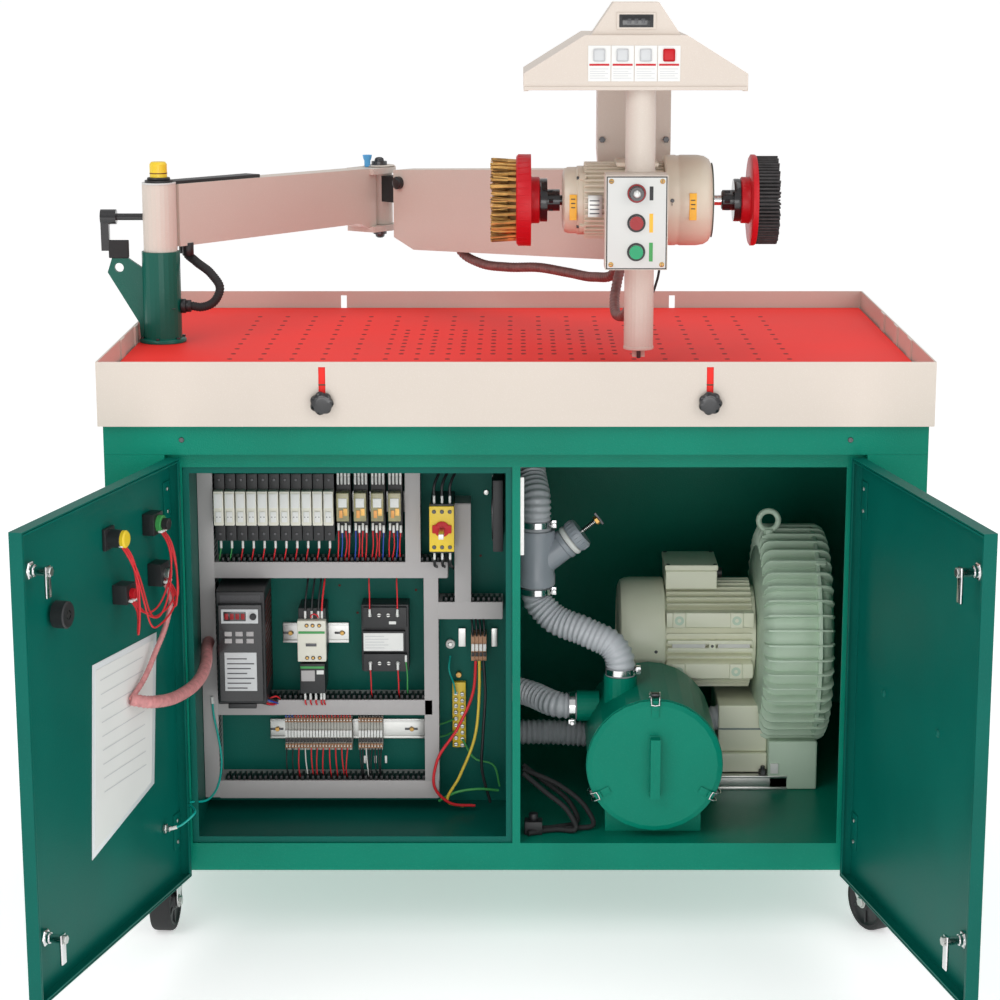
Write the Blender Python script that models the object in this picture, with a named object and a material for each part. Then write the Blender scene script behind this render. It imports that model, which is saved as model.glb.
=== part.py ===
"""Swing-arm deburring machine: a downdraft suction table on a caster cabinet, and a folding arm
that carries a twin-ended motor with a wire brush and a flap disc.

Sizes below are millimetres; every mesh is written in metres. Origin: centre of the work surface,
X right, Y back, Z up.
"""

import math

import bmesh
import bpy
from mathutils import Matrix, Vector

MM = 0.001
GAP = 0.3  # running gap left between touching pieces
SHEET = 3.0  # sheet metal thickness

# Table and fences
TABLE_X, TABLE_Y = 654.0, 421.0
RAIL_X, RAIL_Y = 660.0, 427.0
RAIL_TOP, RAIL_BOTTOM = 31.0, -72.0
MAT_THICKNESS = 5.0
OUTLET = (20.0, -100.0, 30.0)  # x, y, radius
FRONT_RETURN_END, REAR_RETURN_START = -198.0, 148.0
KNOB_X, KNOB_Z = (-305.0, 305.0), -33.0

# Cabinet
CABINET_X, CABINET_Y = 654.0, 412.0
CABINET_TOP, CABINET_BOTTOM = -72.3, -826.0
RECESS_X, FRAME_Y = 558.0, -389.0
BAND_BOTTOM, FLOOR_Z = -120.0, -779.0
LEFT_OPENING, RIGHT_OPENING = (-534.0, -6.0), (7.0, 529.0)
OPENING_Z = (-779.0, -145.0)
ENCLOSURE = ((-533.5, -6.5), (-385.5, -180.0), (-778.5, -145.5))
DOOR_HINGE = (552.0, -413.0)
DOOR_X, DOOR_Z = (3.0, 549.0), (-824.0, -123.5)
DOOR_OPEN_LEFT, DOOR_OPEN_RIGHT = 105.7, 101.7
LATCH_X, LATCH_Z = 49.0, (-188.0, -735.0)
CAM_REACH = {"left": 38.0, "right": 44.0}
SWITCH_X, SWITCH_Z = -122.0, -270.0

# Casters
CASTER_SPOTS = {
    "front_left": (-585.0, -320.0, -95.0),
    "front_right": (585.0, -320.0, -62.0),
    "rear_left": (-585.0, 320.0, 100.0),
    "rear_right": (585.0, 320.0, 82.0),
}
CASTER_TRAIL, WHEEL_R, WHEEL_WIDTH, WHEEL_Z = 30.0, 50.0, 36.0, -894.0

# Suction side
BLOWER_Y, BLOWER_Z = -10.0, -521.0
BLOWER_X, BLOWER_R = (420.0, 550.0), 193.0
BLOWER_MOTOR_X, BLOWER_MOTOR_R = 179.0, 98.0
DRUM_X, DRUM_Z, DRUM_R = 229.0, -653.0, 110.0
DRUM_Y = (-355.0, -127.0)
HOSE_R = 26.0

# Arm
COLUMN = (-612.0, -7.0)
COLUMN_R, COLUMN_TOP, SLEEVE_R, SLEEVE_TOP = 33.0, 157.0, 29.0, 272.0
PIN_R = 20.0
UPPER_ARM_LENGTH, UPPER_ARM_ANGLE = 620.2, 55.64
FOREARM_ANGLE = -43.9
LIFT_U, LIFT_Z = 81.0, 236.0
HEAD_U, HEAD_Z = 590.0, 266.0

# Head
HEAD_X = 200.0
MOTOR_Y, MOTOR_Z = -127.0, 256.0
HANDLE_Y, HANDLE_R = -257.0, 24.0
HOOD_X, HOOD_Y = (12.0, 368.0), (-292.0, -37.5)
PANEL_X, PANEL_Z, PANEL_FACE_Y = (142.0, 241.0), (164.0, 314.0), -332.0
BUTTON_X, BUTTON_Z, STEM_R, PRESS = 191.0, (286.0, 239.0, 193.0), 6.0, 3.0

GREEN = ((0.0, 0.21, 0.145), 0.42, 0.25)
DARK_GREEN = ((0.0, 0.12, 0.085), 0.35, 0.2)
CREAM = ((0.80, 0.73, 0.63), 0.4, 0.0)
BLACK = ((0.018, 0.018, 0.02), 0.5, 0.0)
RED = ((0.72, 0.02, 0.025), 0.45, 0.0)
MAT_RED = ((0.93, 0.045, 0.03), 0.7, 0.0)
GREY = ((0.26, 0.25, 0.25), 0.55, 0.0)
CAST_GREY = ((0.28, 0.34, 0.32), 0.5, 0.1)
STEEL = ((0.6, 0.6, 0.6), 0.3, 1.0)
BRASS = ((0.62, 0.42, 0.16), 0.45, 0.8)
YELLOW = ((0.85, 0.62, 0.04), 0.5, 0.0)
PINK = ((0.75, 0.38, 0.36), 0.55, 0.0)


def clear_scene():
    for obj in list(bpy.data.objects):
        bpy.data.objects.remove(obj, do_unlink=True)


def finished(name, bm, look):
    """Turn a bmesh in millimetres into a linked object with its own material."""
    bmesh.ops.recalc_face_normals(bm, faces=bm.faces)
    if bm.calc_volume(signed=True) < 0:
        bmesh.ops.reverse_faces(bm, faces=bm.faces)
    bmesh.ops.scale(bm, vec=(MM, MM, MM), verts=bm.verts)
    mesh = bpy.data.meshes.new(name)
    bm.to_mesh(mesh)
    bm.free()
    obj = bpy.data.objects.new(name, mesh)
    bpy.context.scene.collection.objects.link(obj)
    if look:
        paint(obj, look)
    return obj


def paint(obj, look):
    colour, roughness, metallic = look
    mat = bpy.data.materials.new(obj.name + "_finish")
    mat.use_nodes = True
    shader = mat.node_tree.nodes["Principled BSDF"]
    shader.inputs["Base Color"].default_value = (*colour, 1.0)
    shader.inputs["Roughness"].default_value = roughness
    shader.inputs["Metallic"].default_value = metallic
    obj.data.materials.append(mat)


def box(name, x, y, z, look=None):
    bm = bmesh.new()
    bmesh.ops.create_cube(bm, size=2)
    spans = [sorted(x), sorted(y), sorted(z)]
    for vert in bm.verts:
        vert.co = Vector(span[co > 0] for span, co in zip(spans, vert.co))
    return finished(name, bm, look)


AXES = {
    "Z": lambda a, b, h: (a, b, h),
    "Y": lambda a, b, h: (a, h, b),
    "X": lambda a, b, h: (h, a, b),
}


def prism(name, outline, span, axis="Z", look=None):
    """Extrude a closed outline: (x, y) along Z, (x, z) along Y, or (y, z) along X."""
    bm = bmesh.new()
    place = AXES[axis]
    verts = [bm.verts.new(place(a, b, span[0])) for a, b in outline]
    face = bm.faces.new(verts)
    grown = bmesh.ops.extrude_face_region(bm, geom=[face])["geom"]
    lift = Vector(place(0, 0, span[1] - span[0]))
    bmesh.ops.translate(bm, vec=lift, verts=[g for g in grown if isinstance(g, bmesh.types.BMVert)])
    return finished(name, bm, look)


def turned(name, profile, centre, axis="Z", look=None, steps=24, ring=False):
    """Spin (radius, height) points about an axis; a ring profile closes on itself."""
    bm = bmesh.new()
    verts = [bm.verts.new((r, 0, h)) for r, h in profile]
    pairs = list(zip(verts, verts[1:])) + ([(verts[-1], verts[0])] if ring else [])
    edges = [bm.edges.new(pair) for pair in pairs]
    bmesh.ops.spin(bm, geom=verts + edges, axis=(0, 0, 1), cent=(0, 0, 0), steps=steps, angle=math.tau)
    bmesh.ops.remove_doubles(bm, verts=bm.verts, dist=0.001)
    for vert in bm.verts:
        u, v, h = vert.co
        vert.co = AXES[axis](u + centre[0], v + centre[1], h)
    obj = finished(name, bm, look)
    obj.data.shade_smooth()
    obj.data.set_sharp_from_angle(angle=math.radians(35))
    return obj


def rod(name, centre, radius, span, axis="Z", look=None, steps=24):
    return turned(name, [(0, span[0]), (radius, span[0]), (radius, span[1]), (0, span[1])], centre, axis, look, steps)


def sleeve(name, centre, inner, outer, span, axis="Z", look=None, steps=24):
    profile = [(inner, span[0]), (outer, span[0]), (outer, span[1]), (inner, span[1])]
    return turned(name, profile, centre, axis, look, steps, ring=True)


def smooth_path(points, per=5):
    """Catmull-Rom points through the stations; the first and last stretch stay straight."""
    pts = [Vector(p) for p in points]
    out = [pts[0]]
    for i in range(1, len(pts) - 2):
        a, b, c, d = pts[i - 1 : i + 3]
        for k in range(per):
            t = k / per
            out.append(
                0.5 * (2 * b + (c - a) * t + (2 * a - 5 * b + 4 * c - d) * t**2 + (3 * b - a - 3 * c + d) * t**3)
            )
    return out + pts[-2:]


def tube(name, points, radius, look, resolution=1, per=4):
    curve = bpy.data.curves.new(name, "CURVE")
    curve.dimensions = "3D"
    curve.bevel_depth = radius * MM
    curve.bevel_resolution = resolution
    curve.use_fill_caps = True
    path = smooth_path(points, per)
    spline = curve.splines.new("POLY")
    spline.points.add(len(path) - 1)
    for point, co in zip(spline.points, path):
        point.co = (*(co * MM), 1)
    obj = bpy.data.objects.new(name, curve)
    bpy.context.scene.collection.objects.link(obj)
    paint(obj, look)
    return obj


def combine(obj, operation, *others):
    """Boolean with each helper, which then follows the object and stays out of the model."""
    for other in others:
        modifier = obj.modifiers.new(operation.title(), "BOOLEAN")
        modifier.operation = operation
        modifier.solver = "EXACT"
        modifier.object = other
        other.hide_render = True
        other.display_type = "WIRE"
        other.name = "helper_" + other.name
        other.parent = obj
    return obj


def cut(obj, *others):
    return combine(obj, "DIFFERENCE", *others)


def weld(obj, *others):
    return combine(obj, "UNION", *others)


def pivot(name, at, parent=None, parent_at=(0, 0, 0)):
    """An empty on a joint's axis, placed where the joint stands in the pose the pieces are drawn in."""
    empty = bpy.data.objects.new(name, None)
    bpy.context.scene.collection.objects.link(empty)
    empty.location = (Vector(at) - Vector(parent_at)) * MM
    empty.parent = parent
    empty["drawn_at"] = list(at)
    return empty


def mount_on(empty, *objects, at=None):
    """Parent pieces drawn in the object's frame to an empty that stands at its drawn position."""
    for obj in objects:
        obj.parent = empty
        obj.matrix_parent_inverse = Matrix.Translation(-Vector(at or empty["drawn_at"]) * MM)


# ---------------------------------------------------------------- cabinet


def base_frame():
    x, y = CABINET_X - 3.3, (-385.7, 408.7)
    top = FLOOR_Z
    shell = box("base_frame", (-x, x), y, (CABINET_BOTTOM, top), GREEN)
    cut(shell, box("base_pocket", (-x + 3, x - 3), (y[0] + 3, y[1] - 3), (CABINET_BOTTOM - 5, top - 3)))
    for side in (-1, 1):
        for front in (-1, 1):
            pad = box(
                f"caster_pad_{side}_{front}",
                (side * 510, side * (x - 1)),
                (front * 250, front * 383.5),
                (CABINET_BOTTOM, CABINET_BOTTOM + 6),
            )
            weld(shell, pad)
    strip = box("base_strip", (-60, 60), (y[0] + 1, y[1] - 1), (CABINET_BOTTOM, CABINET_BOTTOM + 6))
    web = box("base_web", (-3, 3), (y[0] + 1, y[1] - 1), (CABINET_BOTTOM + 4, top - 1))
    return weld(shell, strip, web)


def side_panel(side):
    name = "left_side_panel" if side < 0 else "right_side_panel"
    x, r = CABINET_X, RECESS_X
    half = [(x, -412), (r, -412), (r, FRAME_Y - GAP), (r + 3, FRAME_Y - GAP), (r + 3, -409), (x - 3, -409)]
    half += [(x - 3, CABINET_Y), (x, CABINET_Y)]
    panel = prism(name, [(side * a, b) for a, b in half], (CABINET_BOTTOM, CABINET_TOP), look=GREEN)
    notch = box(name + "_notch", (side * 550, side * 660), (-420, -409 + GAP), (BAND_BOTTOM - GAP, -60))
    return cut(panel, notch)


def front_frame():
    x = RECESS_X - 0.5
    plate = box("front_frame", (-x, x), (FRAME_Y, FRAME_Y + 3), (CABINET_BOTTOM, BAND_BOTTOM + 3), GREEN)
    weld(
        plate,
        box("frame_shelf", (-x, x), (-410, FRAME_Y + 2), (BAND_BOTTOM, BAND_BOTTOM + 3)),
        box("frame_band", (-CABINET_X, CABINET_X), (-412, -409), (BAND_BOTTOM, CABINET_TOP)),
    )
    for number, span in enumerate((LEFT_OPENING, RIGHT_OPENING)):
        cut(plate, box(f"frame_opening_{number}", span, (-395, -380), OPENING_Z))
    return plate


def back_panel():
    return box("back_panel", (-650.7, 650.7), (409, CABINET_Y), (CABINET_BOTTOM, CABINET_TOP), GREEN)


def electrical_enclosure():
    (x0, x1), (y0, y1), (z0, z1) = ENCLOSURE
    shell = box("electrical_enclosure", (x0, x1), (y0, y1), (z0, z1), GREEN)
    cut(
        shell,
        box("enclosure_inside", (x0 + 3, x1 - 3), (y0 + 3, y1 - 3), (z0 + 3, z1 - 3)),
        box("enclosure_mouth", (x0 + 10, x1 - 10), (y0 - 5, y0 + 5), (z0 + 10, z1 - 10)),
    )
    return shell


# ---------------------------------------------------------------- table and fences


def vacuum_table():
    x, y = TABLE_X, TABLE_Y
    top = -MAT_THICKNESS - GAP
    shell = box("vacuum_table", (-x, x), (-y, y), (-71.7, top), GREEN)
    cut(
        shell,
        box("table_inside", (-x + 3, x - 3), (-y + 3, y - 3), (-68.7, top - 6)),
        rod("table_outlet", OUTLET[:2], OUTLET[2], (-80, -60)),
    )
    return shell, vacuum_mat()


def vacuum_mat():
    """The open part behind the handle bar and right of the column stands proud of the mat's margin."""
    x, y = TABLE_X - 1, TABLE_Y - 1
    mat = box("vacuum_mat", (-x, x), (-y, y), (-MAT_THICKNESS, -0.2), MAT_RED)
    return weld(mat, box("mat_work_area", (-560, x - 10), (-222, y - 10), (-1, 0)))


def slot(name, x, y):
    return box(name, (x - 5.5, x + 5.5), (y - 6, y + 6), (KNOB_Z - 6, 23))


def front_fence():
    x, y = RAIL_X, RAIL_Y
    end = FRONT_RETURN_END - GAP
    plan = [(-x, end), (-x, -y), (x, -y), (x, end), (x - 3, end), (x - 3, -y + 3), (-x + 3, -y + 3), (-x + 3, end)]
    fence = prism("front_fence", plan, (RAIL_BOTTOM, RAIL_TOP), look=CREAM)
    return cut(fence, *[slot(f"front_slot_{n}", knob, -y) for n, knob in enumerate(KNOB_X)])


def rear_fence():
    x, y = RAIL_X, RAIL_Y
    end = REAR_RETURN_START + GAP
    plan = [(-x, end), (-x, y), (x, y), (x, end), (x - 3, end), (x - 3, y - 3), (-x + 3, y - 3), (-x + 3, end)]
    fence = prism("rear_fence", plan, (RAIL_BOTTOM, RAIL_TOP), look=CREAM)
    return cut(fence, slot("rear_slot_left", -328, y), slot("rear_slot_right", 297, y))


def side_rail(side):
    name = "left_side_rail" if side < 0 else "right_side_rail"
    a, b = FRONT_RETURN_END, REAR_RETURN_START
    pads = [(a, a + 40), ((a + b) / 2 - 20, (a + b) / 2 + 20), (b - 40, b)]
    plan = [(RAIL_X, a), (RAIL_X, b)]
    for low, high in reversed(pads):
        plan += [(TABLE_X + GAP, high), (TABLE_X + GAP, low)]
        if low > a:
            plan += [(RAIL_X - 3, low), (RAIL_X - 3, low - 75.0)]
    plan = tidy_steps(plan, pads)
    return prism(name, [(side * p, q) for p, q in plan], (RAIL_BOTTOM, RAIL_TOP), look=CREAM)


def tidy_steps(plan, pads):
    """Make each recess between two pads end where the next pad starts."""
    (_, first), (second, third), (fourth, _) = pads
    out = []
    for p, q in plan:
        if p == RAIL_X - 3:
            q = {round(fourth - 75, 3): third, round(second - 75, 3): first}.get(round(q, 3), q)
        out.append((p, q))
    return out


def star_knob(side, x):
    name = "front_knob_" + side
    lobes, radius = 7, 18.0
    turns = [math.tau * k / 28 for k in range(28)]
    rim = [radius * (0.92 + 0.08 * math.cos(lobes * t)) for t in turns]
    outline = [(x + r * math.cos(t), KNOB_Z + r * math.sin(t)) for r, t in zip(rim, turns)]
    y = -RAIL_Y - GAP
    knob = prism(name, outline, (y - 14, y - 3), "Y", BLACK)
    weld(knob, rod(name + "_boss", (x, KNOB_Z), 9, (y - 4, y), "Y", steps=16))
    return weld(knob, rod(name + "_stud", (x, KNOB_Z), 4, (y - 1, -TABLE_Y - GAP), "Y", steps=12))


# ---------------------------------------------------------------- doors


def door(side):
    sign = -1 if side == "left" else 1
    x0, x1 = (sign * v for v in DOOR_X)
    z0, z1 = DOOR_Z
    pan = box(side + "_door", (x0, x1), (-412, -392), (z0, z1), GREEN)
    inner_x = (x0 + sign * 2, x1 - sign * 2)
    cut(pan, box(side + "_door_inside", inner_x, (-410, -380), (z0 + 2, z1 - 2)))
    for number, z in enumerate(LATCH_Z):
        cut(pan, rod(f"{side}_latch_hole_{number}", (sign * LATCH_X, z), 9 + GAP, (-420, -400), "Y", steps=16))
    if side == "left":
        cut(pan, rod("switch_hole", (SWITCH_X, SWITCH_Z), 8 + GAP, (-420, -400), "Y", steps=16))
    return pan


def latch(side, level):
    sign = -1 if side == "left" else 1
    x, z = sign * LATCH_X, LATCH_Z[0 if level == "upper" else 1]
    name = f"{side}_latch_{level}"
    back = -376.0
    body = turned(
        name,
        [(0, -417), (13, -417), (13, -412.3), (9, -412.3), (9, back), (0, back)],
        (x, z),
        "Y",
        BLACK,
        steps=16,
    )
    reach = CAM_REACH[side]
    cam = box(name + "_cam", (x - 7, x + 7), (back - 5, back), (z - reach, z))
    return weld(body, cam)


def main_switch_handle():
    centre = (SWITCH_X, SWITCH_Z)
    profile = [(0, -424), (30, -424), (30, -412.3), (8, -412.3), (8, -404), (20, -404), (20, -384), (0, -384)]
    handle = turned("main_switch_handle", profile, centre, "Y", BLACK)
    grip = box("switch_grip", (SWITCH_X - 6, SWITCH_X + 6), (-440, -420), (SWITCH_Z - 28, SWITCH_Z + 28))
    return weld(handle, grip)


# ---------------------------------------------------------------- casters


def caster(name, x, y):
    """Drawn with the wheel trailing towards +X from the swivel at (x, y)."""
    axle_x = x + CASTER_TRAIL
    top = CABINET_BOTTOM - GAP
    side = [(x - 24, top - 18), (x - 24, top - 8), (x + 46, top - 8), (axle_x + 13, WHEEL_Z - 8)]
    side += [(axle_x + 6, WHEEL_Z - 13), (axle_x - 6, WHEEL_Z - 13), (axle_x - 13, WHEEL_Z - 6)]
    half = WHEEL_WIDTH / 2 + 2
    fork = prism("caster_fork_" + name, side, (y - half - 3, y + half + 3), "Y", STEEL)
    cut(fork, box(name + "_slot", (x - 60, x + 99), (y - half, y + half), (WHEEL_Z - 60, top - 11)))
    weld(fork, rod(name + "_race", (x, y), 24, (top - 9, top)))
    weld(fork, rod(name + "_axle", (axle_x, WHEEL_Z), 6, (y - half - 1, y + half + 1), "Y", steps=12))
    profile = [(6.3, -18), (45, -18), (WHEEL_R, -13), (WHEEL_R, 13), (45, 18), (6.3, 18)]
    profile = [(r, h + y) for r, h in profile]
    wheel = turned("caster_wheel_" + name, profile, (axle_x, WHEEL_Z), "Y", BLACK, ring=True)
    return fork, wheel


# ---------------------------------------------------------------- electrical contents


def wiring_duct():
    y = (-243.0, -183.0 - GAP)
    duct = box("wiring_duct", (-529, -505), y, (-750, -177), GREY)
    runs = [
        ((-506, -131), (-750, -720)),
        ((-506, -140), (-602, -577)),
        ((-506, -114), (-363, -337)),
        ((-154, -131), (-721, -362)),
        ((-184, -160), (-338, -180)),
        ((-132, -22), (-434, -406)),
        ((-102, -76), (-407, -236)),
    ]
    return weld(duct, *[box(f"duct_run_{n}", x, y, z) for n, (x, z) in enumerate(runs)])


def motor_drive():
    drive = box("motor_drive", (-497, -416), (-300, -183 - GAP), (-567, -373), BLACK)
    return weld(drive, box("drive_fascia", (-494, -419), (-313, -299), (-560, -392)))


def disconnect_switch():
    body = box("disconnect_switch", (-142, -103), (-290, -183 - GAP), (-311, -228), YELLOW)
    return weld(body, rod("disconnect_shaft", (SWITCH_X, SWITCH_Z), 6, (-345, -289), "Y", steps=12))


# ---------------------------------------------------------------- suction side


def blower():
    (x0, x1), r = BLOWER_X, BLOWER_R
    centre = (BLOWER_Y, BLOWER_Z)
    inner = [(0, x1 - 8), (150, x1 - 8), (178, x1 - 24), (178, x0 + 28), (150, x0 + 12), (16.3, x0 + 8)]
    outer = [(16.3, x0), (120, x0), (168, x0 + 10), (r, x0 + 26), (r, x1 - 20), (168, x1 - 6), (120, x1), (0, x1)]
    housing = turned("blower_housing", inner + outer, centre, "X", CAST_GREY, steps=28)
    foot = box("blower_foot", (x0 + 22, x1 - 22), (-120, 100), (FLOOR_Z + GAP, BLOWER_Z - 120))
    cut(foot, rod("blower_foot_seat", centre, r - 6, (x0 - 9, x1 + 9), "X", steps=28))
    port = rod("blower_port", (-70, -660), 24, (x0 - 25, x0 + 22), "X")
    weld(housing, foot, port)
    impeller = turned(
        "blower_impeller",
        [(0, x0 + 1), (16, x0 + 1), (16, x0 + 48), (165, x0 + 50), (165, x0 + 80), (0, x0 + 80)],
        centre,
        "X",
        STEEL,
    )
    m, mr = BLOWER_MOTOR_X, BLOWER_MOTOR_R
    end = x0 - GAP
    profile = [(0, m), (mr - 20, m), (mr - 6, m + 8), (mr - 6, m + 52), (mr, m + 56), (mr, end - 14), (60, end), (0, end)]
    motor = turned("blower_motor", profile, centre, "X", CAST_GREY)
    weld(motor, box("terminal_box", (262, 352), (-62, 42), (-430, -386)))
    return housing, impeller, motor


def filter_drum():
    y0, y1 = DRUM_Y
    r, centre = DRUM_R, (DRUM_X, DRUM_Z)
    profile = [(0, y1), (r, y1), (r, y0), (r - 4, y0), (r - 4, y1 - 4), (0, y1 - 4)]
    drum = turned("filter_drum", profile, centre, "Y", GREEN, steps=28)
    foot = box("drum_foot", (DRUM_X - 80, DRUM_X + 80), (-330, -150), (FLOOR_Z + GAP, DRUM_Z - 70))
    cut(foot, rod("drum_foot_seat", centre, r - 2, (-400, -100), "Y", steps=28))
    inlet = rod("drum_inlet", (176, -250), HOSE_R + 2, (-585, -530), "Z")
    outlet = rod("drum_outlet", (-200, -600), HOSE_R, (104, 142), "X")
    weld(drum, foot, inlet, outlet)
    lid = turned(
        "filter_lid",
        [(0, y0 - GAP), (r + 2, y0 - GAP), (r + 2, y0 - 10), (r - 6, y0 - 13), (0, y0 - 13)],
        centre,
        "Y",
        GREEN,
        steps=28,
    )
    loop = [(-388, -602), (-388, -704), (-366, -704), (-366, -696), (-380, -696), (-380, -610), (-366, -610), (-366, -602)]
    weld(lid, prism("lid_strap", loop, (DRUM_X - 8, DRUM_X + 8), "X"))
    return drum, lid


def hose_fitting():
    """Y fitting: a vertical-ish run and a branch that carries the relief valve."""
    y = -195.0
    run = rod("hose_fitting", (34, y), 31, (-388, -292), "Z", GREY)
    branch = rod("fitting_branch", (0, 0), 24, (0, 82), "Z")
    branch.rotation_euler = (0, math.radians(52), 0)
    branch.location = (38 * MM, y * MM, -352 * MM)
    valve = rod("fitting_valve", (0, 0), 27, (64, 92), "Z")
    valve.rotation_euler = branch.rotation_euler
    valve.location = branch.location
    return weld(run, branch, valve)


def hoses():
    table = [(20, -100, -72.3), (20, -100, -92), (20, -108, -150), (26, -152, -206), (34, -192, -250)]
    table += [(34, -195, -272), (34, -195, -291.7)]
    tube("table_hose", table, HOSE_R, GREY)
    drum = [(34, -195, -388.3), (34, -195, -404), (60, -206, -440), (120, -230, -462), (166, -246, -486)]
    drum += [(176, -250, -512), (176, -250, -529.7)]
    tube("drum_hose", drum, HOSE_R, GREY)
    loop = [
        (103.7, -200, -600),
        (86, -200, -600),
        (20, -150, -592),
        (-50, -110, -590),
        (-100, -96, -612),
        (-112, -92, -640),
        (-90, -90, -668),
        (-30, -90, -680),
        (60, -90, -682),
        (180, -84, -690),
        (290, -76, -682),
        (372, -70, -660),
        (394.6, -70, -660),
    ]
    tube("blower_hose", loop, HOSE_R - 3, GREY)


# ---------------------------------------------------------------- arm


def column():
    x, y = COLUMN
    profile = [(0, GAP), (COLUMN_R, GAP), (COLUMN_R, COLUMN_TOP), (PIN_R, COLUMN_TOP), (PIN_R, SLEEVE_TOP + 3)]
    profile += [(24, SLEEVE_TOP + 3), (24, SLEEVE_TOP + 7), (15, SLEEVE_TOP + 7), (15, SLEEVE_TOP + 34)]
    profile += [(12, SLEEVE_TOP + 38), (0, SLEEVE_TOP + 38)]
    post = turned("column", profile, COLUMN, "Z", DARK_GREEN)
    web = [(x - 20, GAP), (-650, GAP), (-652, 33), (-704, 121), (-696, 145), (-668, 145), (x - 20, 120)]
    gusset = prism("column_gusset", web, (y - 5, y + 5), "Y")
    cut(gusset, rod("gusset_hole", (-684, 129), 8, (y - 9, y + 9), "Y", steps=20))
    return weld(post, gusset)


def upper_arm():
    """Drawn along +X from the column axis."""
    x, y = COLUMN
    end = x + UPPER_ARM_LENGTH
    arm = sleeve("upper_arm", COLUMN, PIN_R + GAP, SLEEVE_R, (COLUMN_TOP + GAP, SLEEVE_TOP), look=CREAM)
    beam = [(x + 26, 164), (x + 26, 271), (end - 40, 261), (end - 40, 141), (end - 90, 160)]
    weld(arm, prism("arm_beam", beam, (y - 22, y + 22), "Y"))
    for name, z in (("lower", (141, 152)), ("upper", (250, 261))):
        ear = rod(f"elbow_ear_{name}", (end, y), 32, z)
        tongue = box(f"elbow_tongue_{name}", (end - 60, end), (y - 32, y + 32), z)
        weld(arm, tongue, ear)
    pin = turned(
        "elbow_pin",
        [(0, 132), (13, 132), (13, 142), (10, 142), (10, 260), (15, 260), (15, 271), (0, 271)],
        (end, y),
        steps=16,
    )
    return weld(arm, pin)


def clamp_lever():
    """Screw into the sleeve's outer side, with a ratchet handle that hangs along the post."""
    x, y = COLUMN
    start = x - SLEEVE_R - GAP
    profile = [(0, start), (6, start), (6, start - 45), (13, start - 45), (13, start - 72), (0, start - 72)]
    hub = turned("clamp_lever", profile, (y, 216), "X", BLACK, steps=20)
    bar = prism("clamp_bar", [(-8, 214), (8, 214), (5, 158), (-5, 158)], (start - 72, start - 58), "X")
    bar.location = (0, y * MM, 0)
    return weld(hub, bar)


def elbow_knuckle(at):
    """Drawn along +X from the elbow axis."""
    x, y = at
    knuckle = sleeve("elbow_knuckle", at, 10 + GAP, 25, (152 + GAP, 250 - GAP), look=DARK_GREEN)
    tongue = box("knuckle_tongue", (x + 18, x + LIFT_U + 22), (y - 14, y + 14), (196, 245))
    cut(tongue, rod("knuckle_bore", at, 24, (190, 260)))
    pin = turned(
        "lift_pin",
        [(0, y - 32), (12, y - 32), (12, y - 24.3), (8, y - 24.3), (8, y + 24.3), (12, y + 24.3), (12, y + 32), (0, y + 32)],
        (x + LIFT_U, LIFT_Z),
        "Y",
        steps=20,
    )
    return weld(knuckle, tongue, pin)


def forearm(at):
    """Channel open below and at both ends, drawn along +X; at is the elbow axis."""
    x, y = at
    rise = math.tan(math.radians(3.35))
    near, far = 64.0, 604.0

    def top(u):
        return 259 + (u - near) * rise

    side = [(x + near, top(near)), (x + far, top(far)), (x + far, top(far) - 157), (x + 118, 112), (x + near, 132)]
    arm = prism("forearm", side, (y - 24, y + 24), "Y", CREAM)
    inside = [(x + near - 9, top(near) - 3.6), (x + far + 9, top(far) - 2.5), (x + far + 9, 60), (x + near - 9, 60)]
    cut(arm, prism("forearm_inside", inside, (y - 20.5, y + 20.5), "Y"))
    cut(arm, rod("forearm_lift_bore", (x + LIFT_U, LIFT_Z), 8 + GAP, (y - 40, y + 40), "Y", steps=20))
    return cut(arm, rod("forearm_head_bore", (x + HEAD_U, HEAD_Z), 8 + GAP, (y - 40, y + 40), "Y", steps=20))


def forearm_loom(at):
    """From the forearm's roof, out of its open underside and up into the head; drawn like the forearm."""
    route = [(190, 0, 261.9), (190, 0, 245), (192, 0, 200), (200, 0, 150), (222, 0, 115), (270, 0, 98), (340, 0, 96)]
    route += [(420, 0, 102), (500, -6, 100), (575, -20, 100), (630, -32, 112), (645, -38.6, 134), (645, -38.6, 149.6)]
    return tube("forearm_loom", [(at[0] + u, at[1] + v, z) for u, v, z in route], 9, PINK)


# ---------------------------------------------------------------- head


def head_at():
    """World position of the levelling pivot at the end of the forearm."""
    first, second = math.radians(UPPER_ARM_ANGLE), math.radians(FOREARM_ANGLE)
    x = COLUMN[0] + UPPER_ARM_LENGTH * math.cos(first) + HEAD_U * math.cos(second)
    y = COLUMN[1] + UPPER_ARM_LENGTH * math.sin(first) + HEAD_U * math.sin(second)
    return (x, y, HEAD_Z)


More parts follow.
